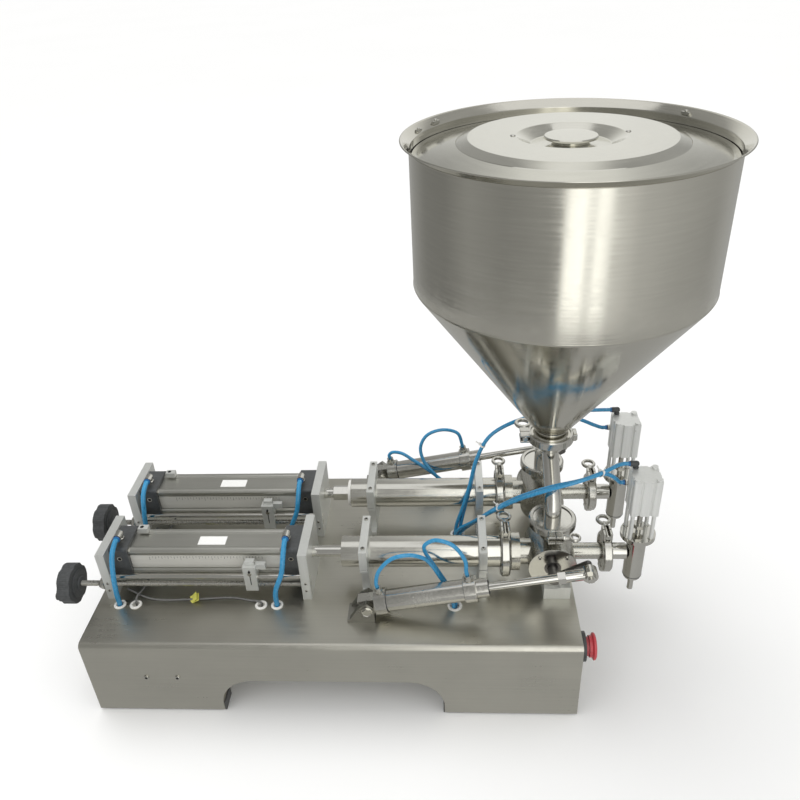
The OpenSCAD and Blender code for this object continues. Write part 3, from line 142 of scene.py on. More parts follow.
class Graph:
    """A material's node graph, with short calls to add and join nodes."""

    def __init__(self, name: str) -> None:
        """Starts the material.

        Args:
            name: The material's name.
        """
        self.material = bpy.data.materials.new(name)
        self.material.use_nodes = True
        self.tree = self.material.node_tree
        self.shader = self.tree.nodes["Principled BSDF"]

    def add(self, kind: str, inputs: dict | None = None, **settings) -> bpy.types.Node:
        """Adds one node.

        Args:
            kind: The node's type without its ShaderNode prefix.
            inputs: Socket names or numbers, each with a value or with a socket to link.
            **settings: The node's own options.

        Returns:
            The new node.
        """
        node = self.tree.nodes.new("ShaderNode" + kind)
        for key, value in settings.items():
            setattr(node, key, value)
        for key, value in (inputs or {}).items():
            self.put(node, key, value)
        return node

    def put(self, node: bpy.types.Node, key: str | int, value) -> None:
        """Links or sets one input of a node."""
        if isinstance(value, bpy.types.NodeSocket):
            self.tree.links.new(value, node.inputs[key])
        else:
            node.inputs[key].default_value = value

    def math(self, operation: str, a, b=0.0, c=0.0) -> bpy.types.NodeSocket:
        """Adds a Math node and returns its result."""
        return self.add("Math", {0: a, 1: b, 2: c}, operation=operation).outputs[0]

    def spread(self, value, low: float, high: float) -> bpy.types.NodeSocket:
        """Maps 0.3..0.7 of a noise to low..high."""
        return self.add(
            "MapRange", {"Value": value, "From Min": 0.3, "From Max": 0.7, "To Min": low, "To Max": high}
        ).outputs[0]

    def noise(self, vector, scale: float, detail: float = 2.0) -> bpy.types.NodeSocket:
        """Adds a Noise Texture and returns its value."""
        return self.add("TexNoise", {"Vector": vector, "Scale": scale, "Detail": detail}).outputs[0]

    def grey(self, tone, blue: float = 1.0) -> bpy.types.NodeSocket:
        """Makes a grey from a tone, warmer where blue is under 1, and returns it."""
        low = tone if blue == 1.0 else self.math("MULTIPLY", tone, blue)
        return self.add("CombineColor", {0: tone, 1: tone, 2: low}).outputs[0]

    def mix(self, factor, a, b, blend: str = "MIX") -> bpy.types.NodeSocket:
        """Mixes two colours and returns the result."""
        node = self.add("Mix", {0: factor, 6: a, 7: b}, data_type="RGBA", blend_type=blend)
        return node.outputs[2]


@dataclass(frozen=True)
class Finish:
    """A surface finish: base colour, gloss, grain, cloudiness and fine relief."""

    name: str
    slot: str
    colour: tuple[float, float, float]
    metallic: float = 0.0
    roughness: float = 0.4
    grain: Grain = Grain.EVEN
    streaks: float = 0.06
    clouds: float = 0.06
    relief: float = 0.1
    coat: float = 0.0
    centre: tuple[float, float] = (0.0, 0.0)

    def material(self) -> bpy.types.Material:
        """Returns the finish's material, made on the first call."""
        found = bpy.data.materials.get(self.name)
        return found or self._make()

    def _make(self) -> bpy.types.Material:
        """Builds the node graph: streaked and clouded colour, uneven gloss, and relief."""
        g = Graph(self.name)
        place = g.add("TexCoord").outputs["Object"]
        lines = g.noise(self._grained(g, place), 1.0, 5.0)
        cloud = g.noise(place, CLOUD_SCALE, 3.0)
        dust = g.noise(place, DUST_SCALE, 2.0)
        light = tuple(min(1.0, c * (1 + self.streaks)) for c in self.colour) + (1.0,)
        shade = tuple(c * (1 - self.streaks) for c in self.colour) + (1.0,)
        colour = g.mix(g.spread(lines, 0.0, 1.0), shade, light)
        tint = g.spread(cloud, 1 - self.clouds, 1 + self.clouds)
        colour = g.mix(1.0, colour, g.grey(tint), "MULTIPLY")
        rough = g.math("ADD", g.spread(lines, -0.04, 0.06), g.spread(cloud, -0.05, 0.06))
        rough = g.math("ADD", rough, g.spread(dust, self.roughness - 0.02, self.roughness + 0.03))
        bump = g.add("Bump", {"Height": lines, "Strength": self.relief, "Distance": RELIEF_DEPTH})
        g.put(g.shader, "Base Color", colour)
        g.put(g.shader, "Roughness", g.math("MAXIMUM", rough, LEAST_ROUGH))
        g.put(g.shader, "Normal", bump.outputs[0])
        g.put(g.shader, "Metallic", self.metallic)
        g.put(g.shader, "Coat Weight", self.coat)
        g.put(g.shader, "Coat Roughness", COAT_ROUGH)
        return g.material

    def _grained(self, g: Graph, place: bpy.types.NodeSocket) -> bpy.types.NodeSocket:
        """Stretches the coordinates along the grain, or winds them round a centre."""
        if self.grain is not Grain.ROUND:
            return g.add("Mapping", {"Vector": place, "Scale": self.grain.value}).outputs[0]
        xyz = g.add("SeparateXYZ", {0: place}).outputs
        x = g.math("SUBTRACT", xyz[0], self.centre[0])
        y = g.math("SUBTRACT", xyz[1], self.centre[1])
        turn = g.math("ABSOLUTE", g.math("ARCTAN2", y, x))
        reach = g.math("SQRT", g.math("ADD", g.math("MULTIPLY", x, x), g.math("MULTIPLY", y, y)))
        rise = g.math("ADD", xyz[2], g.math("MULTIPLY", reach, REACH_SHARE))
        wide, tall, _ = self.grain.value
        across, up = g.math("MULTIPLY", turn, wide), g.math("MULTIPLY", rise, tall)
        return g.add("CombineXYZ", {0: across, 1: up}).outputs[0]


HOPPER_CENTRE = (AT.hopper_x, AT.mid_y)
SHEET = Finish(
    "brushed_sheet", "brushed_steel", (0.60, 0.585, 0.525), 1.0, 0.33, Grain.ALONG_X, 0.03, 0.04, 0.012)
SHEET_END = Finish(
    "brushed_end_sheet", "brushed_steel", (0.58, 0.565, 0.51), 1.0, 0.33, Grain.ALONG_Y, 0.03, 0.04, 0.015)
SPUN = Finish(
    "spun_steel", "brushed_steel", (0.62, 0.605, 0.545), 1.0, 0.13, Grain.ROUND, 0.025, 0.03, 0.012,
    centre=HOPPER_CENTRE)
LID_STEEL = Finish(
    "lid_steel", "polished_steel", (0.68, 0.67, 0.61), 1.0, 0.12, Grain.ROUND, 0.03, 0.04, 0.03,
    centre=HOPPER_CENTRE)
CAST = Finish("turned_steel", "brushed_steel", (0.56, 0.55, 0.50), 1.0, 0.22, Grain.ALONG_Y, 0.05, 0.08, 0.04)
MIRROR = Finish("mirror_steel", "polished_steel", (0.68, 0.67, 0.63), 1.0, 0.09, Grain.EVEN, 0.02, 0.05, 0.01)
CHROME = Finish("clamp_steel", "polished_steel", (0.62, 0.61, 0.57), 1.0, 0.17, Grain.EVEN, 0.04, 0.08, 0.03)
TUBE_STEEL = Finish(
    "drawn_tube_steel", "polished_steel", (0.64, 0.63, 0.58), 1.0, 0.16, Grain.ALONG_X, 0.03, 0.04, 0.02)
SCREW_STEEL = Finish(
    "thread_steel", "polished_steel", (0.50, 0.49, 0.46), 1.0, 0.26, Grain.EVEN, 0.05, 0.08, 0.03)
DARK_STEEL = Finish(
    "dark_crank_steel", "brushed_steel", (0.20, 0.195, 0.19), 1.0, 0.34, Grain.EVEN, 0.10, 0.10, 0.10)
PLATE_ALLOY = Finish("milled_alloy", "alloy", (0.70, 0.71, 0.685), 0.6, 0.38, Grain.ALONG_Z, 0.03, 0.04, 0.04)
NOZZLE_ALLOY = Finish("satin_alloy", "alloy", (0.82, 0.83, 0.81), 0.55, 0.36, Grain.ALONG_Z, 0.03, 0.03, 0.02)
BRACKET_STEEL = Finish(
    "bracket_steel", "brushed_steel", (0.34, 0.335, 0.31), 1.0, 0.30, Grain.EVEN, 0.04, 0.06, 0.03)
BARREL_ALLOY = Finish("drawn_alloy", "alloy", (0.63, 0.625, 0.58), 1.0, 0.36, Grain.ALONG_X, 0.03, 0.03, 0.03)
DARK_CAP = Finish(
    "dark_anodised", "dark_plastic", (0.11, 0.115, 0.117), 0.45, 0.36, Grain.EVEN, 0.12, 0.12, 0.04)
DARK_KNOB = Finish(
    "dark_moulding", "dark_plastic", (0.062, 0.065, 0.067), 0.0, 0.42, Grain.EVEN, 0.2, 0.2, 0.12)
# Near-black: painted shade in screw sockets, holes, slots and recesses, and the printed scale lines.
PIT_SHADE_AND_PRINT = Finish("dark_recess", "dark_plastic", (0.008, 0.008, 0.009), 0.0, 0.6, Grain.EVEN, 0.2, 0.1, 0.05)
RUBBER = Finish("foot_rubber", "foot_rubber", (0.022, 0.022, 0.023), 0.0, 0.72, Grain.EVEN, 0.3, 0.2, 0.35)
NYLON = Finish("pale_nylon", "white_plastic", (0.80, 0.79, 0.75), 0.0, 0.42, Grain.EVEN, 0.03, 0.04, 0.08)
BARREL_STRIP = Finish("scale_strip", "alloy", (0.70, 0.69, 0.64), 0.3, 0.45, Grain.ALONG_X, 0.03, 0.03, 0.02)
STICKER = Finish("bare_label", "white_plastic", (0.86, 0.86, 0.84), 0.0, 0.5, Grain.EVEN, 0.02, 0.03, 0.03)
YELLOW_TAG = Finish(
    "yellow_tag", "white_plastic", (0.70, 0.68, 0.14), 0.0, 0.45, Grain.EVEN, 0.05, 0.12, 0.05)
RED_CAP = Finish(
    "red_moulding", "red_plastic", (0.55, 0.055, 0.07), 0.0, 0.34, Grain.EVEN, 0.06, 0.08, 0.05, coat=0.25)
BLUE_TUBE = Finish(
    "blue_airline", "blue_tube", (0.035, 0.28, 0.53), 0.0, 0.24, Grain.EVEN, 0.08, 0.12, 0.04, coat=0.45)
BLUE_COLLAR = Finish("blue_collar", "blue_tube", (0.03, 0.16, 0.42), 0.0, 0.35, Grain.EVEN, 0.08, 0.1, 0.05)
CABLE = Finish("grey_sheath", "cable_sheath", (0.17, 0.17, 0.165), 0.0, 0.5, Grain.EVEN, 0.12, 0.1, 0.12)


def round_edges(part: bmesh.types.BMesh, width: float, angle: float) -> None:
    """Rounds those edges of a part that are sharper than an angle in radians."""
    sharp = [e for e in part.edges if len(e.link_faces) == 2 and e.calc_face_angle(0.0) > angle]
    bmesh.ops.bevel(
        part, geom=sharp, offset=width, segments=2, profile=0.5, affect="EDGES", material=-1,
        clamp_overlap=True,
    )


def linked(name: str, data: bpy.types.ID) -> bpy.types.Object:
    """Makes an object of a mesh, lamp or camera and puts it in the scene."""
    thing = bpy.data.objects.new(name, data)
    bpy.context.scene.collection.objects.link(thing)
    return thing


class Form:
    """A shape being made in metres. Each call adds one closed, outward-facing part to it."""

    def __init__(self) -> None:
        """Starts an empty shape."""
        self.bm = bmesh.new()

    def take(self, part: bmesh.types.BMesh, bevel: float = 0.0, place: Matrix | None = None) -> "Form":
        """Closes a part, turns it outwards, rounds its edges and adds it.

        Args:
            part: The new part, which is used up.
            bevel: Width of the rounding along its sharp edges.
            place: Where the part goes.

        Returns:
            The shape itself.
        """
        bmesh.ops.remove_doubles(part, verts=part.verts[:], dist=1e-6)
        bmesh.ops.recalc_face_normals(part, faces=part.faces[:])
        if bevel:
            round_edges(part, bevel, 0.5)
        if place is not None:
            part.transform(place)
            if place.determinant() < 0:
                bmesh.ops.reverse_faces(part, faces=part.faces[:])
        return self.join(part)

    def join(self, part: bmesh.types.BMesh) -> "Form":
        """Adds a part as it is, which is used up, and returns the shape."""
        mesh = bpy.data.meshes.new("part")
        part.to_mesh(mesh)
        part.free()
        self.bm.from_mesh(mesh)
        bpy.data.meshes.remove(mesh)
        return self

    def lathe(
        self,
        profile: Sequence[tuple[float, float]],
        centre: Point,
        axis: str = "Z",
        steps: int = 48,
        place: Matrix | None = None,
    ) -> "Form":
        """Adds a turned part.

        Args:
            profile: (radius, height) pairs, from the axis or closed on itself.
            centre: The point of height zero.
            axis: Name of the axis it is turned about.
            steps: Number of sides.
            place: Where the part goes.

        Returns:
            The shape itself.
        """
        part = bmesh.new()
        origin = Vector(centre)
        verts = [part.verts.new(origin + AXIS[axis] * h + SIDE[axis] * r) for r, h in profile]
        edges = [part.edges.new(pair) for pair in zip(verts, verts[1:])]
        if profile[0][0] > 0 and profile[-1][0] > 0:
            edges.append(part.edges.new((verts[-1], verts[0])))
        bmesh.ops.spin(
            part, geom=verts + edges, cent=origin, axis=AXIS[axis], angle=math.tau, steps=steps,
            use_merge=True,
        )
        return self.take(part, place=place)

    def bar(
        self, start: Point, axis: str, r: float, length: float, ease: float = 0.0, steps: int = 32,
        place: Matrix | None = None,
    ) -> "Form":
        """Adds a round bar with eased ends, or a prism where steps is small."""
        e = ease
        eased = [(0, 0), (r - e, 0), (r, e), (r, length - e), (r - e, length), (0, length)]
        plain = [(0, 0), (r, 0), (r, length), (0, length)]
        return self.lathe(eased if e else plain, start, axis, steps, place)

    def ring(
        self, start: Point, axis: str, r: float, hole: float, length: float, ease: float = 0.0,
        steps: int = 32, place: Matrix | None = None,
    ) -> "Form":
        """Adds a washer or sleeve with eased outer corners."""
        e = ease
        profile = [(hole, 0), (r - e, 0), (r, e), (r, length - e), (r - e, length), (hole, length)]
        return self.lathe(profile, start, axis, steps, place)

    def coil(
        self, centre: Point, axis: str, r: float, thick: float, steps: int = 40, sides: int = 10
    ) -> "Form":
        """Adds a round ring of round section."""
        around = (math.tau * k / sides for k in range(sides))
        turn = [(r + thick * math.cos(a), thick * math.sin(a)) for a in around]
        return self.lathe(turn, centre, axis, steps)

    def block(self, low: Point, high: Point, bevel: float = 0.0006, place: Matrix | None = None) -> "Form":
        """Adds a box between two corners, with rounded edges."""
        part = bmesh.new()
        bmesh.ops.create_cube(part, size=1.0)
        lo, hi = Vector(low), Vector(high)
        bmesh.ops.scale(part, vec=hi - lo, verts=part.verts[:])
        bmesh.ops.translate(part, vec=(lo + hi) / 2, verts=part.verts[:])
        return self.take(part, bevel, place)

    def hexagon(
        self, start: Point, axis: str, r: float, length: float, hole: float = 0.0, place: Matrix | None = None
    ) -> "Form":
        """Adds a six-sided nut or head with eased corners, and a hole if one is given."""
        e = 0.12 * r
        profile = [(hole, 0), (0.9 * r, 0), (r, e), (r, length - e), (0.9 * r, length), (hole, length)]
        return self.lathe(profile, start, axis, 6, place)

    def sweep(self, route: Sequence[Point], r: float, sides: int = 14, fine: int = 5) -> "Form":
        """Adds a round tube along a smooth line through the route's points.

        Args:
            route: Points that the centre line passes.
            r: The tube's radius.
            sides: Number of corners of each ring.
            fine: Rings between two points of the route.

        Returns:
            The shape itself.
        """
        line = smooth_line(route, fine)
        part = bmesh.new()
        turn = AXIS["Z"].rotation_difference(line[1] - line[0])
        frame = Matrix.Translation(line[0]) @ turn.to_matrix().to_4x4()
        made = bmesh.ops.create_circle(part, cap_ends=True, segments=sides, radius=r, matrix=frame)
        ring = list({e for v in made["verts"] for e in v.link_edges if e.is_boundary})
        heading = (line[1] - line[0]).normalized()
        for k in range(1, len(line)):
            ahead = line[min(k + 1, len(line) - 1)] - line[k - 1]
            turn = heading.rotation_difference(ahead).to_matrix().to_4x4()
            step = Matrix.Translation(line[k]) @ turn @ Matrix.Translation(-line[k - 1])
            new = bmesh.ops.extrude_edge_only(part, edges=ring)["geom"]
            verts = [g for g in new if isinstance(g, bmesh.types.BMVert)]
            ring = [g for g in new if isinstance(g, bmesh.types.BMEdge) and g.is_boundary]
            bmesh.ops.transform(part, matrix=step, verts=verts)
            heading = ahead.normalized()
        bmesh.ops.edgeloop_fill(part, edges=ring)
        return self.take(part)

    def solid(self, node: str, bevel: float = 0.0) -> "Form":
        """Adds a copy of a CAD node, merged, with flat faces joined and edges rounded."""
        part = bmesh.new()
        part.from_mesh(bpy.data.objects[node].data)
        bmesh.ops.remove_doubles(part, verts=part.verts[:], dist=2e-6)
        bmesh.ops.dissolve_limit(
            part, angle_limit=math.radians(0.5), verts=part.verts[:], edges=part.edges[:], delimit={"NORMAL"}
        )
        if bevel:
            round_edges(part, bevel, 0.6)
        return self.join(part)

    def made(
        self, name: str, finish: Finish, body: str = MACHINE, replaces: Iterable[str] = (),
        crease: float = 34.0,
    ) -> bpy.types.Object:
        """Ends the shape as one object that rides on a body.

        Args:
            name: The piece's name.
            finish: Its surface finish.
            body: The CAD body it moves with, or nothing for one that is left on no body.
            replaces: CAD nodes that it stands for.
            crease: Angle in degrees above which an edge stays sharp.

        Returns:
            The new object.
        """
        limit = math.radians(crease)
        for face in self.bm.faces:
            face.smooth = True
        for edge in self.bm.edges:
            if len(edge.link_faces) == 2 and edge.calc_face_angle(0.0) > limit:
                edge.smooth = False
        mesh = bpy.data.meshes.new(name)
        self.bm.to_mesh(mesh)
        self.bm.free()
        piece = linked(name, mesh)
        mesh.materials.append(finish.material())
        even = piece.modifiers.new("even_normals", "WEIGHTED_NORMAL")
        even.keep_sharp = True
        if body:
            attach(piece, body)
        if replaces:
            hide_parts(*replaces)
        LOG.info("%s: %d faces on %s", name, len(mesh.polygons), body)
        return piece


def smooth_line(route: Sequence[Point], fine: int) -> list[Vector]:
    """Returns points of a smooth line through the route, with fine steps between two of its points."""
    p = [Vector(q) for q in route]
    p = [2 * p[0] - p[1]] + p + [2 * p[-1] - p[-2]]
    out: list[Vector] = []
    for a, b, c, d in zip(p, p[1:], p[2:], p[3:]):
        t1 = max((b - a).length, 1e-6) ** 0.5
        t2 = max((c - b).length, 1e-6) ** 0.5
        t3 = max((d - c).length, 1e-6) ** 0.5
        m1 = (c - b) + t2 * ((b - a) / t1 - (c - a) / (t1 + t2))
        m2 = (c - b) + t2 * ((d - c) / t3 - (d - b) / (t2 + t3))
        for k in range(fine):
            t = k / fine
            near, far = 2 * t**3 - 3 * t**2 + 1, 3 * t**2 - 2 * t**3
            out.append(near * b + (t**3 - 2 * t**2 + t) * m1 + far * c + (t**3 - t**2) * m2)
    out.append(p[-2].copy())
    return out


def dressed(node: str, finish: Finish, body: str = MACHINE, bevel: float = 0.0004) -> bpy.types.Object:
    """Stands a rounded, smooth copy with a finish in a CAD node's place."""
    return Form().solid(node, bevel).made(node + "_dressed", finish, body, [node])


def facing(at: Point, towards: Point) -> Matrix:
    """Returns the placement that puts local Z along a direction at a point."""
    turn = AXIS["Z"].rotation_difference(Vector(towards))
    return Matrix.Translation(Vector(at)) @ turn.to_matrix().to_4x4()


@dataclass
class Screws:
    """Socket-head screws of one piece: bright heads, and a near-black hexagon in each socket as painted
    shade.
    """

    r: float = 0.0033
    h: float = 0.002

    def build(
        self, name: str, places: Sequence[tuple[Point, Point, float]], replaces: Iterable[str] = ()
    ) -> None:
        """Makes every head.

        Args:
            name: Start of the pieces' names.
            places: Foot of each head, the way it faces, and its size against the usual one.
            replaces: CAD nodes that the heads stand for.
        """
        heads, shade_pits = Form(), Form()
        r, h = self.r, self.h
        profile = [
            (0, 0.45 * h), (0.52 * r, 0.45 * h), (0.56 * r, 0.95 * h), (0.62 * r, h), (0.88 * r, h),
            (r, 0.85 * h), (r, 0), (0, 0)]
        for at, towards, size in places:
            place = facing(at, towards) @ Matrix.Scale(size, 4)
            heads.lathe(profile, ORIGIN, "Z", 24, place)
            # Near-black hexagon on the socket's floor: painted shade.
            shade_pits.bar((0, 0, 0.46 * h), "Z", 0.5 * r, 0.08 * h, steps=6, place=place)
        heads.made(name, CHROME, replaces=replaces)
        shade_pits.made(name + "_sockets", PIT_SHADE_AND_PRINT)


@dataclass
class Base:
    """The bent sheet box with its ends, feet, grommets, screws, the boxes inside it and the air inlet."""

    length: float = 0.750
    sheet_t: float = 0.002
    grommet_w: float = 0.004
    grommet_wall: float = 0.0018
    grommet_foot: float = -0.003
    grommet_out: float = 0.060
    main_shares: tuple[float, ...] = (-0.451, -0.417, -0.149, -0.115)
    main_r: float = 0.0055
    pair_x: float = 0.1905
    pair_r: float = 0.0072
    bundle_at: tuple[float, float] = (0.197025, 0.04102)
    bundle_r: float = 0.0084
    front_screw_x: tuple[float, float] = (-0.2839, -0.2351)
    front_screw_y: float = -0.2045
    front_screw_z: float = 0.078
    front_screw_size: float = 1.25
    bracket_x: tuple[float, float] = (0.0455, 0.228)
    bracket_half_t: float = 0.00625
    bracket_screw_out: float = 0.03393
    bracket_top: float = 0.2416
    plate_side: float = 0.0475
    plate_screw_z: tuple[float, float] = (0.1669, 0.1816)
    plate_screw_size: float = 0.7

    def build(self) -> None:
        """Dresses the box and makes what shows on it."""
        dressed("base_shell", SHEET, bevel=0.0)
        dressed("base_ends", SHEET_END, bevel=0.0003)
        dressed("feet", RUBBER, bevel=0.0012)
        self.grommets()
        dressed("air_valves", PLATE_ALLOY, bevel=0.0008)
        dressed("control_box", DARK_KNOB, bevel=0.0015)
        dressed("air_inlet", CHROME, bevel=0.0003)
        self.screws()

    def grommets(self) -> None:
        """White sleeves with a rounded flange round each hole of the top plate."""
        out = self.grommet_out
        holes = [(k * self.length, h.y - out, self.main_r) for h in HEADS for k in self.main_shares]
        holes += [(self.pair_x, h.y + h.side * out, self.pair_r) for h in HEADS]
        holes.append((*self.bundle_at, self.bundle_r))
        form = Form()
        w, t, low = self.grommet_w, self.sheet_t, self.grommet_foot
        for x, y, r in holes:
            sleeve = r + self.grommet_wall
            profile = [
                (r, low), (r, 0.7 * t), (r + 0.15 * w, t), (r + 0.7 * w, 0.95 * t), (r + w, 0.45 * t),
                (r + w, 0), (sleeve, 0), (sleeve, low)]
            form.lathe(profile, (x, y, AT.base_h), "Z", 40)
        form.made("grommets_dressed", NYLON, replaces=["grommets"])

    def screws(self) -> None:
        """Heads on the front, the end plates' edges and the tube brackets."""
        places: list[tuple[Point, Point, float]] = []
        for x in self.front_screw_x:
            at = (x, self.front_screw_y, self.front_screw_z)
            places.append((at, (0, -1, 0), self.front_screw_size))
        for h in HEADS:
            for x in self.bracket_x:
                for s in (-1, 1):
                    at = (x + self.bracket_half_t, h.y + s * self.bracket_screw_out, self.bracket_top)
                    places.append((at, (0, 0, 1), 1.0))
            for x in (AT.plate_x, AT.plate2_x):
                for z in self.plate_screw_z:
                    at = (x + AT.plate_t / 2, h.y - self.plate_side, z)
                    places.append((at, (0, -1, 0), self.plate_screw_size))
        Screws().build("socket_screws_dressed", places, ["socket_screws"])


@dataclass
class AirCylinders:
    """Two air cylinders between their end plates, with scale strips, labels and screws."""

    cap_w: float = 0.060
    cap_l: float = 0.029
    face_out: float = 0.02332
    strip_half_t: float = 0.0001
    strip_z: tuple[float, float] = (0.1935, 0.2185)
    ticks: int = 37
    tick_x: float = -0.2885
    tick_top: float = 0.2165
    tick_step: float = 0.005
    tick_half_w: float = 0.0002
    tick_depth: float = 0.00022
    tick_lengths: tuple[float, float, float] = (0.0075, 0.0055, 0.0035)
    label_x: tuple[float, float] = (-0.212, -0.168)
    label_y: tuple[float, float] = (-0.011, 0.008)
    label_z: tuple[float, float] = (0.2291, 0.2297)
    cushion_x: tuple[float, float] = (-0.3335, -0.0615)
    cushion_up: float = 0.011
    cushion_r: float = 0.0028
    tie_at: float = 0.0243
    tie_r: float = 0.0034
    recess_at: tuple[float, float, float] = (-0.3085, 0.0180, 0.2411)

    def build(self) -> None:
        """Dresses plates, caps and barrels and adds what is on them."""
        for node in ("left_plates", "right_plates"):
            dressed(node, PLATE_ALLOY, bevel=0.0007)
        dressed("cylinder_caps", DARK_CAP, bevel=0.0007)
        for h in HEADS:
            dressed(f"barrel_{h.name}", BARREL_ALLOY, bevel=0.0003)
        dressed("guide_rods", MIRROR, bevel=0.0006)
        dressed("end_sensors", PLATE_ALLOY, bevel=0.0005)
        self.strips()
        self.scale()
        self.labels()
        self.cap_details()

    def strips(self) -> None:
        """Pale strips along the front of each barrel."""
        form = Form()
        low, high = self.strip_z
        for h in HEADS:
            y, t = h.y - self.face_out, self.strip_half_t
            form.block((AT.barrel_x, y - t, low), (AT.barrel_end_x, y + t, high), 0.0)
        form.made("barrel_strips", BARREL_STRIP)

    def scale(self) -> None:
        """Dark graduation lines on the front of each barrel."""
        form = Form()
        for h in HEADS:
            y = h.y - self.face_out
            for k in range(self.ticks):
                length = self.tick_lengths[0 if k % 10 == 0 else 1 if k % 2 == 0 else 2]
                x, w = self.tick_x + k * self.tick_step, self.tick_half_w
                low = (x - w, y - self.tick_depth, self.tick_top - length)
                form.block(low, (x + w, y, self.tick_top), 0.0)
        form.made("barrel_scale", PIT_SHADE_AND_PRINT)

    def labels(self) -> None:
        """Bare pale labels on top of the barrels."""
        form = Form()
        (x1, x2), (y1, y2), (z1, z2) = self.label_x, self.label_y, self.label_z
        for h in HEADS:
            form.block((x1, h.y + y1, z1), (x2, h.y + y2, z2), 0.0001)
        form.made("barrel_labels", STICKER)

    def cap_details(self) -> None:
        """Cushion screws, tie-rod ends and a recess in each barrel's top, with near-black discs in the
        screws' holes and the recess as painted shade.
        """
        bright, shade_pits = Form(), Form()
        for h in HEADS:
            y, z = h.y - self.cap_w / 2, AT.axis_z + self.cushion_up
            for x in self.cushion_x:
                bright.ring((x, y + 0.0008, z), "Y", 0.0040, self.cushion_r, -0.0012, 0.0)
                # Near-black disc in the cushion screw's hole: painted shade.
                shade_pits.bar((x, y + 0.0004, z), "Y", self.cushion_r, -0.0008)
            for x, side in ((AT.plate_x + AT.plate_t + self.cap_l, 1), (AT.barrel_end_x, -1)):
                for sy, sz in CORNERS:
                    at = (x - side * 0.0002, h.y + sy * self.tie_at, AT.axis_z + sz * self.tie_at)
                    bright.bar(at, "X", self.tie_r, side * 0.0022, 0.0, 6)
            x, y, z = self.recess_at
            # Near-black disc on the barrel's top: painted shade of the recess.
            shade_pits.bar((x, h.y + y, z), "Z", 0.0030, 0.0002)
        bright.made("cap_screws", CHROME)
        shade_pits.made("cap_recesses", PIT_SHADE_AND_PRINT)


